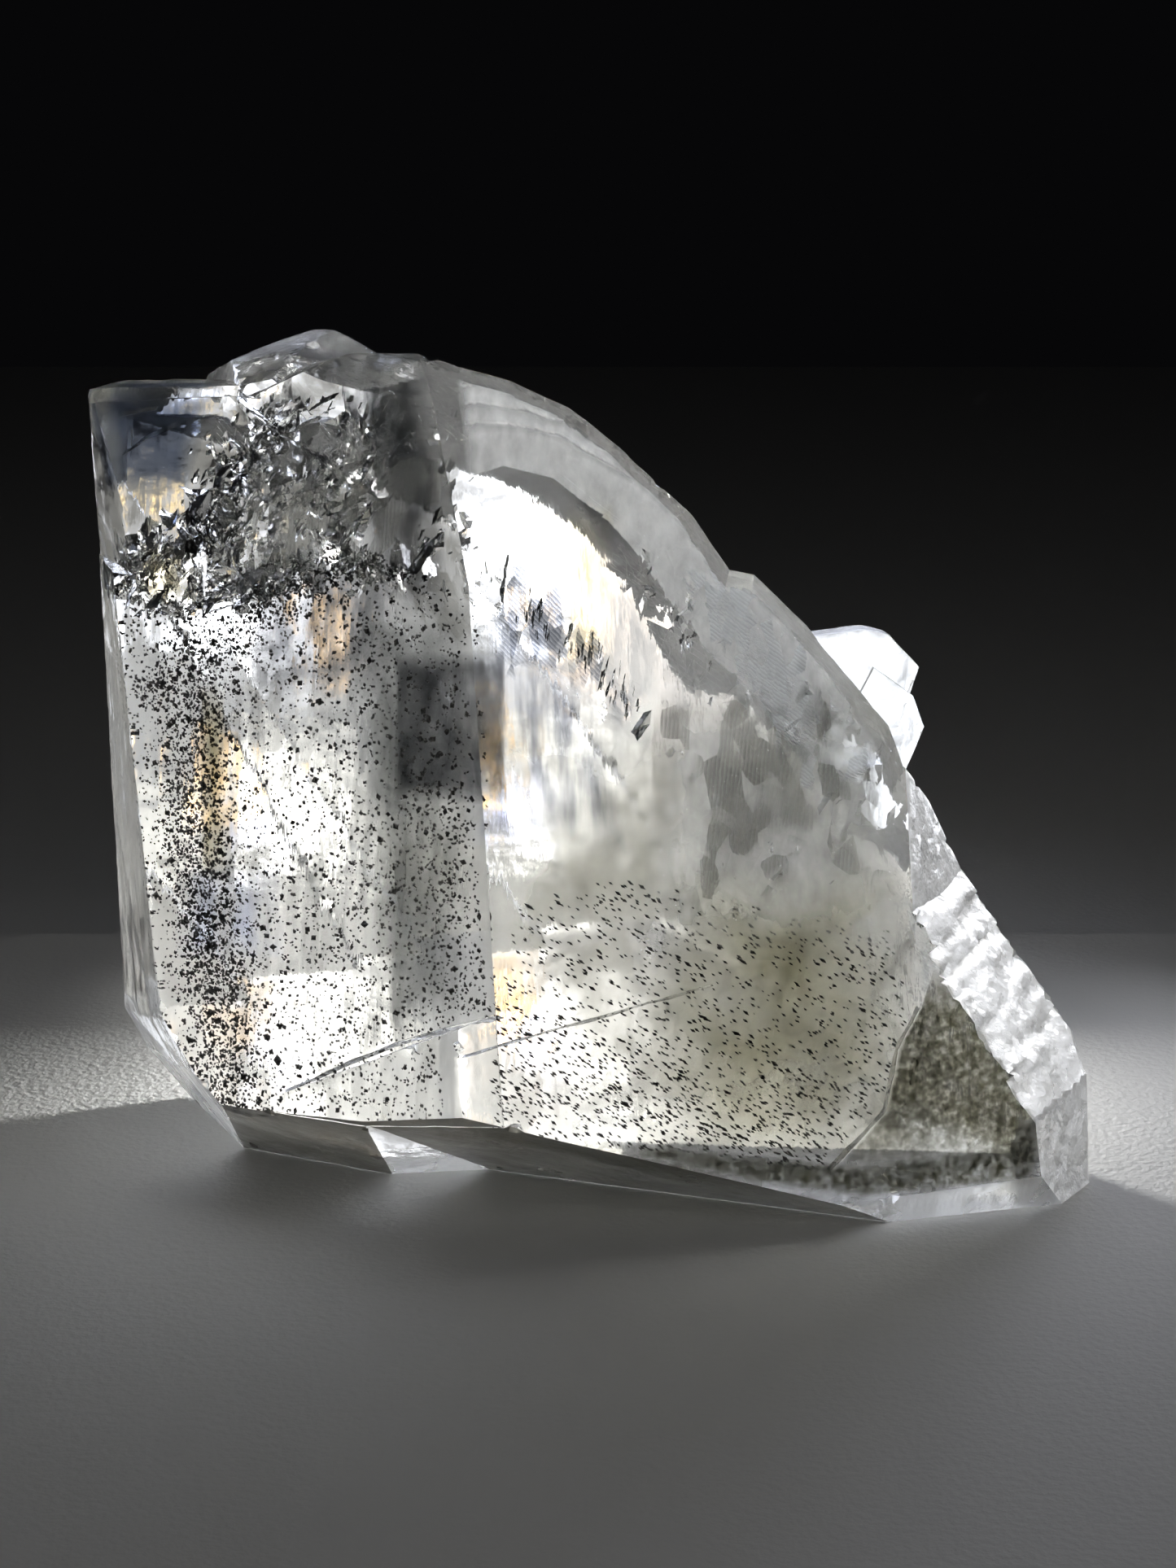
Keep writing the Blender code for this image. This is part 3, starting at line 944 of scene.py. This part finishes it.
# The same for dashes, which are about 0.4 mm long
TYPICAL_DASH = 0.13
DASH = (1.6, 0.55, 0.3)
pixels = strew(RIGHT_PART, DASH_BANDS, 0.14, 13000, 8)
random = np.random.default_rng(9)
normal = FRONT_RIGHT[0]
along = looks(12.9 + 90, -40.0)
along -= normal * (along @ normal)
along /= np.linalg.norm(along)
size = np.exp(random.normal(np.log(TYPICAL_DASH), 0.25, len(pixels)))[:, None, None]
dash_axes = np.stack([along * DASH[0], np.cross(normal, along) * DASH[1], normal * DASH[2]]) * size
places = seen(pixels, FRONT_RIGHT, 2.2 + 1.5 * random.random(len(pixels)))
dash_points, dash_faces = copies(OCTAHEDRON, OCTAHEDRON_FACES, places, dash_axes)
put("grain_dashes", dash_points, dash_faces, grain_finish)

# %% [markdown]
# ## Veils and cracks
# A crack inside calcite is a thin gap that mirrors light, pearly and streaked, and a veil is a sheet
# of tiny bubbles, milky where they are dense. Both are surfaces with nothing much in them, so we make
# thin curved sheets: a grid of two parameters over four corners, whose depth under the face changes
# with noise. A value called `fade` falls to 0 at a sheet's border, so that no edge can be seen.


# %% Thin sheets
# In mm: a sheet's thickness, the least room that it keeps to the skin, the way over which it fades
# in from there, and the least depth
SHEET_THICK = 0.03
SHEET_MARGIN = 0.6
FADE_IN = 0.5
LEAST_DEPTH = 0.3
# A sheet that comes near another face is pushed deeper, by so many steps of so many mm
PUSHES = 5
PUSH = 0.5


def sheet(name, sides, face, depth, finish, relief, grain, cells, feather, seed):
    """A thin closed sheet behind a face. One parameter runs from its left line of pixels to its right
    one, the other down both lines. Its depth blends those of the four corners, plus noise. What would
    come out of the stone is left away."""
    u, v = np.meshgrid(np.linspace(0, 1, cells[0]), np.linspace(0, 1, cells[1]))
    u, v = u.ravel(), v.ravel()
    weights = np.column_stack([(1 - u) * (1 - v), u * (1 - v), u * v, (1 - u) * v])
    lines = [np.array(line, float) for line in sides]
    left, right = [
        np.column_stack([np.interp(v, np.linspace(0, 1, len(line)), line[:, axis]) for axis in (0, 1)])
        for line in lines
    ]
    pixels = left + (right - left) * u[:, None]
    deep = weights @ np.broadcast_to(depth, 4)
    in_mm = np.column_stack([pixels * MM_A_PIXEL, u * 0])
    deep = np.maximum(LEAST_DEPTH, deep + relief * rough(in_mm, grain, 50 + seed))
    front = seen(pixels, face, deep)
    room = depth_inside(front)
    for _ in range(PUSHES):
        poor = room < SHEET_MARGIN + 0.2
        deep[poor] += PUSH
        front[poor] = seen(pixels[poor], face, deep[poor])
        room[poor] = depth_inside(front[poor])
    corner = (np.arange(cells[1] - 1)[:, None] * cells[0] + np.arange(cells[0] - 1)).ravel()
    quads = np.column_stack([corner, corner + cells[0], corner + cells[0] + 1, corner + 1])
    quads = quads[(room[quads] > SHEET_MARGIN).all(1)]
    normal = np.cross(front[quads[0, 1]] - front[quads[0, 0]], front[quads[0, 3]] - front[quads[0, 0]])
    if normal @ face[0] < 0:
        quads = quads[:, ::-1]
    used, same = np.unique(quads, return_inverse=True)
    front, quads = front[used], same.reshape(quads.shape)
    count = len(front)
    ways = np.stack([quads, np.roll(quads, -1, axis=1)], 2).reshape(-1, 2)
    lone = ways[~np.isin(ways[:, 0] * count + ways[:, 1], ways[:, 1] * count + ways[:, 0])]
    rim = np.column_stack([lone[:, ::-1], lone + count])
    back = front - face[0] * SHEET_THICK
    walls = np.concatenate([quads, quads[:, ::-1] + count, rim])
    piece = put(name, np.concatenate([front, back]), walls, finish, True)
    from_border = np.minimum(np.minimum(u, 1 - u) / feather[0], np.minimum(v, 1 - v) / feather[1])[used]
    from_skin = np.clip((room[used] - SHEET_MARGIN) / FADE_IN, 0, 1)
    fade = np.clip(from_border * (1 + 0.5 * rough(in_mm[used], 4.0, 80 + seed)), 0, 1) * from_skin
    kept = piece.data.attributes.new("fade", "FLOAT", "POINT")
    kept.data.foreach_set("value", np.tile(fade, 2).astype(np.float32))


print("a sheet is", SHEET_THICK, "mm thick and stays", SHEET_MARGIN, "mm inside the stone")

# %% [markdown]
# Two kinds of finish are enough for all of them. A crack or a dense veil scatters light, so it is a pale
# diffuse layer that a mask opens. A film of fine clay, or a painted shade, only takes light away: it is a
# transparent shader whose colour a mask tints. Light crosses both walls of a sheet, so it is tinted twice,
# and the tints here are paler than what the eye sees.


# %% Two kinds of finish for sheets
FADE = {"attribute_name": "fade"}


def thin_finish(name, tint, mask, through=0.5, roughness=0.35):
    """A pale thin layer: part of the light is scattered back, part through, and a mask opens it."""
    material = new_material(name)
    settings = {"Base Color": colour(tint), "Roughness": roughness}
    front = add_node(material, "ShaderNodeBsdfPrincipled", settings)
    behind = add_node(material, "ShaderNodeBsdfTranslucent", {"Color": colour(tint)})
    clear = add_node(material, "ShaderNodeBsdfTransparent")
    layer = add_node(material, "ShaderNodeMixShader", None, through, front, behind)
    return finished(material, add_node(material, "ShaderNodeMixShader", None, mask(material), clear, layer))


def film_finish(name, tint, mask):
    """A film of fine clay, or a painted shade: clear, but tinted where its mask is high, so that it only
    takes light away.
    """
    material = new_material(name)
    settings = {"data_type": "RGBA", 6: colour("#ffffff"), 7: colour(tint)}
    blend = add_node(material, "ShaderNodeMix", settings, mask(material)).outputs[2]
    return finished(material, add_node(material, "ShaderNodeBsdfTransparent", None, blend))


def faded(material, scale, low, high, stretch=(1, 1, 1), detail=5.0):
    """A mask of noise that fades out at the sheet's border."""
    cloud = pattern(material, scale, stretch, detail=detail, low=low, high=high)
    fade = add_node(material, "ShaderNodeAttribute", FADE).outputs["Fac"]
    return add_node(material, "ShaderNodeMath", MULTIPLY, cloud, fade)


def splintered(material, scale, amount, spacing, stretch, turn):
    """A mask of sharp splinters: Voronoi cells, open or closed by chance, that are fewer towards the
    border, and fine saw-tooth lines across them."""
    cells = add_node(material, "ShaderNodeTexVoronoi", {"Scale": scale}, placed(material, stretch, turn))
    chance = add_node(material, "ShaderNodeSeparateColor", None, cells.outputs["Color"])
    both = layered(material, chance, add_node(material, "ShaderNodeAttribute", FADE).outputs["Fac"])
    limits = {"From Min": 1.0, "From Max": 1.15, "To Max": amount}
    sharp = add_node(material, "ShaderNodeMapRange", limits, both)
    shade = add_node(material, "ShaderNodeMapRange", {"To Min": 0.35}, chance.outputs["Green"])
    across = combs(material, spacing, 1.0 / MM, (turn[0], turn[1] + 0.4, turn[2]))
    lines = add_node(material, "ShaderNodeMapRange", {"To Min": 0.45}, across)
    shaded = add_node(material, "ShaderNodeMath", MULTIPLY, sharp, shade)
    return add_node(material, "ShaderNodeMath", MULTIPLY, shaded, lines)


print("two walls of #dcdcd7 let", round(colour("#dcdcd7")[0] ** 2, 2), "of the light through")

# %% [markdown]
# Next the finishes by name. Bubbles make warm white clouds, which hang upright under the left front.
# Cracks are white, and a grey copy of them is painted shade, for cracks that light comes to from behind.
# Films are grey, olive or blue: most of them paint shade, the olive ones are partly the stone's own tint,
# and where the clay is finest it makes an even olive cloud.

# %% Veils, cracks and films
# Milky, with soft holes: the glow in the middle of the stone
veil_finish = thin_finish(
    "milky_veil_of_bubbles", "#cdcabb", lambda m: faded(m, 160, 0.3, 0.75, detail=6.0), 0.65, 0.5
)
# Upright brush strokes of light
streak_finish = thin_finish(
    "upright_streaks_of_bubbles", "#c9c9c4", lambda m: faded(m, 330, -0.1, 0.65, (1, 1, 0.06)), 0.65, 0.5
)
# Dense and white, so that the slope is lit from the front
slope_finish = thin_finish(
    "milky_skin_of_the_slope", "#f4f4f2", lambda m: faded(m, 900, 0.5, 1.0, (1, 1, 0.5), 8.0), 0.15, 0.5
)
# Sharp glints of broken crystal
white_splinters = thin_finish(
    "splintered_white_crack",
    "#eceef0",
    lambda m: splintered(m, 900, 0.7, 0.25, (1, 1, 0.45), (0.3, 0.5, 0.2)),
    0.5,
    0.4,
)
# The same cracks painted grey: painted shade, for cracks that light comes to from behind
splinters_in_painted_shade = thin_finish(
    "splintered_crack_painted_in_shade",
    "#8e8e86",
    lambda m: splintered(m, 700, 0.6, 0.3, (1, 1, 0.5), (0.2, -0.5, 0.1)),
    0.6,
    0.4,
)
# Dark pointed teeth against the light
tooth_film = film_finish(
    "comb_of_thin_plates",
    "#9ea3ae",
    lambda m: splintered(m, 1000, 0.95, 0.25, (1, 1, 0.22), (0.0, 0.35, 0.0)),
)
# Fine grey lines, upright
upright_film = film_finish("upright_plates", "#a9adb8", lambda m: faded(m, 700, -0.4, 1.0, (1, 1, 0.03)))
# Painted shade: smoky shadows with ragged insides
shade_film = film_finish("painted_shade_film", "#9a9b9d", lambda m: faded(m, 500, 0.45, 1.0, (1, 1, 0.5)))
# Painted shade: a thin grey haze, and a thicker one
thin_shade_film = film_finish("thin_grey_painted_shade", "#dcdcd7", lambda m: faded(m, 300, 0.3, 1.0, (1, 1, 0.4)))
thicker_shade_film = film_finish(
    "thicker_grey_painted_shade", "#c2c3c2", lambda m: faded(m, 300, 0.5, 1.0, (1, 1, 0.2))
)
# Warm olive at the lower right: partly the stone's own tint, partly painted shade
olive_tint_and_shade_film = film_finish("olive_tint_and_painted_shade", "#dcdacb", lambda m: faded(m, 400, 0.5, 0.8, (1, 1, 0.5)))
# A peppery dark cloud; real silt is finer than this, which is as fine as the render can show. Along the
# bottom of the right front it is painted shade
silt_and_shade_film = film_finish("silt_cloud_and_painted_shade", "#85836f", lambda m: faded(m, 1800, 0.3, 1.0, detail=6.0))
# Painted shade: a cool patch of sky colour under the shelf
blue_shade_film = film_finish("blue_grey_painted_shade", "#b0bacf", lambda m: faded(m, 200, 0.6, 1.0))
print("now there are", len(bpy.data.materials), "materials")

# %% [markdown]
# A sheet lies between two lines, its left and its right side, which we read off the photograph as
# pixels. A four-cornered outline would do for most veils, but the silt, the band of painted shade along
# the bottom and the slope follow bent edges of the stone, and lines of several points can follow those too.

# %% The sides of the sheets
CRACK_LINE = [(1150, 1185), (1131, 1240), (1105, 1287), (1089, 1366), (1021, 1446)]
TORN_LINE = [(1165, 1180), (1215, 1235), (1262, 1310), (1276, 1400), (1276, 1446)]
LOW_TOP = [(566, 1376), (700, 1397), (900, 1416), (1060, 1432), (1275, 1400)]
LOW_BOTTOM = [(566, 1414), (700, 1434), (900, 1454), (1060, 1472), (1275, 1456)]
SLOPE_TOP = [
    (560, 452), (630, 474), (700, 506), (806, 604), (876, 674), (905, 712), (1000, 785), (1085, 880),
]
SLOPE_BOTTOM = [
    (575, 590), (620, 575), (680, 590), (745, 640), (800, 700), (860, 790), (940, 860), (1040, 930),
]
BEND_LEFT = [(600, 560), (660, 590), (720, 640), (750, 700)]
BEND_RIGHT = [(680, 560), (750, 600), (800, 660), (830, 740)]
SIDES = {
    "right_veil": ([(570, 860), (590, 1400)], [(1060, 860), (1200, 1440)]),
    "left_veil": ([(140, 760), (280, 1390)], [(575, 760), (590, 1390)]),
    "low_cloud": (CRACK_LINE, TORN_LINE),
    "low_shade": (LOW_TOP, LOW_BOTTOM),
    "olive_cloud": ([(820, 1060), (760, 1440)], [(1130, 1060), (1120, 1460)]),
    "middle_cloud": ([(870, 870), (850, 1110)], [(1090, 860), (1100, 1110)]),
    "slope_veil": (SLOPE_TOP, SLOPE_BOTTOM),
    "left_shade": ([(430, 740), (440, 1300)], [(585, 740), (598, 1250)]),
    "left_cloud": ([(484, 800), (484, 985)], [(592, 800), (596, 990)]),
    "upper_shade": ([(285, 690), (310, 860)], [(480, 670), (480, 860)]),
    "knob_shade": ([(440, 430), (440, 760)], [(520, 440), (560, 760)]),
    "blue_patch": ([(118, 480), (135, 600)], [(270, 480), (230, 610)]),
    "bent_smudge": (BEND_LEFT, BEND_RIGHT),
    "slope_splinters": ([(810, 660), (960, 990)], [(905, 690), (1125, 960)]),
    "middle_splinters": ([(780, 860), (860, 1130)], [(1060, 830), (1110, 1080)]),
    "comb_of_plates": ([(575, 650), (575, 830)], [(690, 680), (810, 900)]),
    "rim_splinters": ([(1085, 990), (1130, 1230)], [(1135, 1020), (1215, 1250)]),
    "right_milk": ([(790, 830), (790, 1180)], [(1110, 880), (1120, 1180)]),
    "upright_plates": ([(590, 760), (600, 1010)], [(770, 830), (780, 1060)]),
    "shelf_splinters": ([(250, 500), (230, 720)], [(560, 500), (575, 745)]),
}
print("there are", len(SIDES), "pairs of sides")

# %% [markdown]
# One table holds what else each sheet needs, and a loop makes them. We could write a call for each, but a
# table is easier to compare and to change. The depths are those of the four corners, in mm.

# %% Make the sheets
# Name, face, four depths, finish, relief and its size, points across and down, fade at the sides and at
# the ends, and the seed of its noise
SHEETS = (
    ("right_veil", FRONT_RIGHT, (6, 6, 3, 4), veil_finish, 1.5, 6.0, (90, 90), (0.2, 0.2), 3),
    ("left_veil", FRONT_LEFT, (7, 8, 5, 5), streak_finish, 1.0, 6.0, (70, 90), (0.2, 0.2), 6),
    ("low_cloud", FRONT_RIGHT, (1.5, 1.0, 1.0, 1.2), silt_and_shade_film, 0.2, 6.0, (60, 80), (0.03, 0.25), 4),
    # A band of painted shade along the bottom of the right front, in the silt's tint
    ("low_shade", FRONT_RIGHT, 1.2, silt_and_shade_film, 0.1, 6.0, (20, 120), (0.3, 0.02), 23),
    # Olive film: partly the stone's own warm tint, partly painted shade
    ("olive_cloud", FRONT_RIGHT, (2, 2, 1.6, 1.6), olive_tint_and_shade_film, 0.3, 6.0, (60, 70), (0.5, 0.3), 8),
    # Grey film over the middle of the right front: painted shade
    ("middle_cloud", FRONT_RIGHT, (4, 3, 3, 4), thin_shade_film, 0.8, 5.0, (50, 50), (0.35, 0.35), 9),
    ("slope_veil", FRONT_RIGHT, (1.2, 3, 4, 1.2), slope_finish, 0.4, 6.0, (50, 130), (0.02, 0.05), 10),
    # The next six films are painted shade over parts of the stone
    ("left_shade", FRONT_LEFT, (5, 5, 4, 4), thicker_shade_film, 0.4, 5.0, (50, 90), (0.35, 0.1), 11),
    ("left_cloud", FRONT_LEFT, 6, shade_film, 0.3, 3.0, (40, 50), (0.06, 0.12), 5),
    ("upper_shade", FRONT_LEFT, 6, shade_film, 0.5, 3.0, (50, 50), (0.2, 0.3), 20),
    ("knob_shade", FRONT_LEFT, (4, 2, 2, 4), shade_film, 0.4, 3.0, (40, 80), (0.3, 0.15), 18),
    ("blue_patch", FRONT_LEFT, 4, blue_shade_film, 0.5, 4.0, (40, 40), (0.2, 0.2), 19),
    ("bent_smudge", FRONT_RIGHT, 4, shade_film, 0.3, 3.0, (40, 50), (0.45, 0.3), 12),
    ("slope_splinters", FRONT_RIGHT, (1.5, 1, 1, 2.5), white_splinters, 0.5, 4.0, (40, 90), (0.45, 0.3), 13),
    ("middle_splinters", FRONT_RIGHT, (2.5, 1.5, 1.2, 2.5), splinters_in_painted_shade, 0.6, 4, (70, 60), (0.4, 0.4), 14),
    ("comb_of_plates", FRONT_RIGHT, 1.0, tooth_film, 0.2, 4.0, (60, 60), (0.4, 0.4), 15),
    ("rim_splinters", FRONT_RIGHT, (1.0, 0.8, 0.8, 1.0), white_splinters, 0.2, 4.0, (30, 60), (0.4, 0.3), 16),
    ("right_milk", FRONT_RIGHT, (3, 2, 2, 3), slope_finish, 0.6, 6.0, (60, 60), (0.5, 0.5), 21),
    ("upright_plates", FRONT_RIGHT, 1.5, upright_film, 0.2, 4.0, (50, 50), (0.3, 0.3), 22),
)
for name, face, *rest in SHEETS:
    sheet(name, SIDES[name], face, *rest)
print(len(SHEETS), "sheets are in place")

# %% [markdown]
# A crack thinner than a wave of light shows the colours of a thin film, as oil on water does. On the
# specimen these are small yellow and blue flashes beside the bright spots. Blender has a thin film
# setting, but it needs mirrored light that comes in just so. So the flashes are painted: small tinted
# films, a painted sheen that shows from every side, keep them where the photograph has them.

# %% Painted flashes of colour, and the cracks in front of the shelf
# Middle, half width and half height in pixels, and tint of each painted flash
FLASHES = (
    ((724, 722), 32, 105, "#fdf3cf"),
    ((262, 960), 15, 120, "#fdf3cf"),
    ((207, 704), 36, 40, "#fdf3cf"),
    ((283, 1120), 70, 60, "#e6ebfc"),
    ((625, 985), 50, 60, "#e6ebfc"),
)
# The pixel column of the edge between the two fronts
EDGE_AT = 580
for number, ((x, y), wide, high, tint) in enumerate(FLASHES):
    flash = film_finish(f"painted_glint_of_thin_film_{number}", tint, lambda m: faded(m, 600, 0.1, 1.0, (1, 1, 0.3)))
    corners = ([(x - wide, y - high), (x - wide, y + high)], [(x + wide, y - high), (x + wide, y + high)])
    face = FRONT_RIGHT if x > EDGE_AT else FRONT_LEFT
    sheet(f"flash_{number}", corners, face, 1.8, flash, 0.2, 3.0, (20, 20), (0.5, 0.4), 30 + number)
SHELF_SHEET = (FRONT_LEFT, (3, 3, 2, 2), splinters_in_painted_shade, 0.8, 4.0, (80, 70), (0.4, 0.4), 17)
sheet("shelf_splinters", SIDES["shelf_splinters"], *SHELF_SHEET)

# %% [markdown]
# ## Floor, lamps and backdrop
# The stone stands on a pale matt board, whose fine grain only shows where light grazes it. It could be
# a plane with an image of card, but one noise of 1600 bumps in a metre does it.

# %% Lay the board
# Card: matt, a little warm, with a grain that catches grazing light
board = new_material("pale_matt_board")
card_grain = pattern(board, 1600, detail=8.0)
bump = add_node(board, "ShaderNodeBump", {"Strength": 0.3, "Distance": 0.12 * MM}, Height=card_grain)
card = {"Base Color": colour("#d8d7d3"), "Roughness": 0.7}
finished(board, add_node(board, "ShaderNodeBsdfPrincipled", card, Normal=bump))
# Just under the stone, so that the two don't share a plane
FLOOR_AT = -0.05
floor = add_mesh(
    "floor",
    np.array([[-400, -400, FLOOR_AT], [400, -400, FLOOR_AT], [400, 500, FLOOR_AT], [-400, 500, FLOOR_AT]]),
    np.array([[0, 1, 2, 3]]),
)
floor.data.materials.append(board)
print("the board is", [round(size / MM) for size in floor.dimensions], "mm")

# %% [markdown]
# A clear mineral is lit from behind. The light comes through the etched back and makes soft pools, with
# a hot spot in each. On the real stone these are pictures of one lamp, bent by faces that we can't
# see. One lamp and true refraction would put them elsewhere, so each pool has an oval lamp of its own,
# behind the stone on the line of sight. Power follows from how bright the oval looks: pi times its area
# times its radiance.


# %% Lamps behind the stone
# The upright plane in which the ovals stand, in mm behind the middle
BACK_PLANE = 58.0


def soft_lamp(name, at, towards, size, radiance, hex_code="#ffffff", inner=False, spread=180.0):
    """An oval area lamp at a place in mm that faces another. Its power is pi times its area, which is
    pi/4 times both widths, times its radiance. An inner one doesn't light matt things such as the board."""
    lamp_data = bpy.data.lights.new(name, "AREA")
    lamp_data.shape = "ELLIPSE"
    lamp_data.size, lamp_data.size_y = size[0] * MM, size[1] * MM
    lamp_data.energy = radiance * np.pi * (np.pi / 4 * size[0] * size[1] * MM * MM)
    lamp_data.color = colour(hex_code)[:3]
    lamp_data.spread = np.radians(spread)
    lamp = bpy.data.objects.new(name, lamp_data)
    lamp.location = np.array(at) * MM
    way = np.array(towards, float) - at
    flat_length = np.hypot(way[0], way[1])
    lamp.rotation_euler = (np.pi / 2 + np.arctan2(way[2], flat_length), 0.0, np.arctan2(-way[0], way[1]))
    lamp.visible_camera = False
    lamp.visible_diffuse = not inner
    bpy.context.scene.collection.objects.link(lamp)
    return lamp


def lamp_behind(name, x, z, size, radiance, hex_code, nearer=0.0):
    """An oval of light in the upright plane behind the stone, which faces the viewer."""
    soft_lamp(name, (x, BACK_PLANE - nearer, z), (x, 0.0, z), size, radiance, hex_code, True)


# Glows are wide and dim, halos surround the spots, and small coloured ones feed the flashes
lamp_behind("wide_glow", 4.0, 17.0, (160.0, 50.0), 0.3, "#f4f3ee")
lamp_behind("middle_glow", -14.0, 17.0, (50.0, 40.0), 0.3, "#eef1fa", 2.0)
lamp_behind("halo_right", -13.1, 26.0, (17.0, 18.0), 0.5, "#eef2ff", 4.0)
lamp_behind("halo_left", -20.8, 26.7, (11.0, 10.0), 0.8, "#eef2ff", 4.2)
lamp_behind("halo_low", -10.8, 8.0, (16.0, 14.5), 1.1, "#fbf8f0", 4.4)
lamp_behind("low_glow", -14.0, 3.0, (44.0, 12.0), 0.5, "#f6f3e6", 3.0)
lamp_behind("spot_right", -13.1, 26.0, (8.0, 9.0), 2.5, "#f8f9ff", 6.0)
lamp_behind("spot_left", -20.8, 26.7, (7.0, 6.5), 2.5, "#f8f9ff", 6.2)
lamp_behind("spot_low", -10.8, 7.5, (8.0, 10.0), 2.6, "#fdfcf8", 6.4)
lamp_behind("yellow_right", -8.6, 25.2, (1.8, 8.0), 3.0, "#ffc030", 7.0)
lamp_behind("yellow_low", -18.6, 10.4, (1.8, 9.0), 4.0, "#ffc030", 7.0)
lamp_behind("yellow_high", -24.4, 37.5, (2.0, 1.4), 3.0, "#ffd98a", 7.0)
lamp_behind("blue_low", -15.2, 6.1, (5.0, 3.0), 1.6, "#7f9cff", 7.0)
lamp_behind("lamp_plates", 25.5, 9.0, (17.0, 15.0), 3.0, "#eef3ff", 2.0)
lamps = [thing for thing in bpy.context.scene.objects if thing.type == "LIGHT"]
print("behind the stone there are", len(lamps), "lamps")

# %% [markdown]
# The other lamps do what a photographer's side lamps and cards do: one strikes the slope and one the
# right end from behind, one grazes the torn rim, a wide one fills the near faces, and three small ones
# light the board beside and behind the stone, where the photograph shows bright patches that end in
# the stone's shadow. Those three are kept out of mirrors and of clear stone, where they would glare.

# %% Lamps around the stone and on the board
soft_lamp("lamp_right", (60.0, 44.0, 28.0), (34.0, 0.0, 22.0), (24.0, 36.0), 9.0, "#f4f6ff", True)
soft_lamp("lamp_slope", (30.0, 70.0, 85.0), (5.0, 5.0, 50.0), (60.0, 60.0), 6.0, "#e4ebff", True)
rim_lamp = soft_lamp("lamp_rim", (112.0, 46.0, 78.0), (27.0, 0.0, 20.0), (50.0, 50.0), 17.0, "#ffffff")
fill_lamp = soft_lamp("lamp_fill", (-70.0, -150.0, 150.0), (0.0, 0.0, 30.0), (150.0, 120.0), 26.0, "#f8faff")
soft_lamp("lamp_above", (-60.0, -30.0, 240.0), (0.0, -10.0, 30.0), (160.0, 160.0), 0.25)
soft_lamp("lamp_front", (40.0, -190.0, 140.0), (0.0, -70.0, 0.0), (160.0, 120.0), 0.75)
board_lamps = [
    soft_lamp("lamp_on_board_behind", (-6.0, 62.0, 50.0), (-8.0, 38.0, 0.0), (24.0, 10.0), 14.0, spread=62.0),
    soft_lamp("lamp_on_board_left", (7.8, 32.0, 3.2), (-35.0, -8.0, 2.0), (4.0, 4.0), 1700.0, spread=85.0),
    soft_lamp("lamp_on_board_right", (6.0, 32.0, 8.0), (49.0, -8.0, 3.0), (5.0, 5.0), 260.0, spread=85.0),
]
for lamp in board_lamps:
    lamp.visible_transmission = lamp.visible_glossy = False
lamps = [thing for thing in bpy.context.scene.objects if thing.type == "LIGHT"]
print("in all there are", len(lamps), "lamps")

# %% [markdown]
# The lamp on the torn rim and the wide fill would also flood the board, where a photographer would hold
# a card between. In Blender that is light linking: a lamp gets a list of the things that it lights.

# %% Keep two lamps off the board
stone_only = bpy.data.collections.new("stone_only")
for piece in list(bpy.context.scene.objects):
    if piece.type == "MESH" and piece != floor:
        stone_only.objects.link(piece)
for lamp in (rim_lamp, fill_lamp):
    lamp.light_linking.receiver_collection = stone_only

# %% [markdown]
# Last come a few settings of the render. The photograph burns out to pure white in the lamp spots and is
# nearly black behind, so the plain Standard view is closer to it than a film-like one. The world is
# almost black, so that the clear parts show it.

# %% View, bounces and world
scene = bpy.context.scene
scene.view_settings.view_transform = "Standard"
# With these few lamps, choosing among them by a tree takes longer than choosing at random
scene.cycles.use_light_tree = False
# A line of sight can cross a dozen films, and each one has two walls
scene.cycles.transparent_max_bounces = 48
# Light that has been through seven faces adds nothing that the eye could see, but costs time
scene.cycles.max_bounces = 7
scene.cycles.transmission_bounces = 7
scene.cycles.glossy_bounces = 3
scene.cycles.diffuse_bounces = 2

world = bpy.data.worlds.new("world")
world.use_nodes = True
world.node_tree.nodes["Background"].inputs["Color"].default_value = colour("#070708")
scene.world = world
print("the world is", [round(value, 4) for value in colour("#070708")[:3]], "bright")
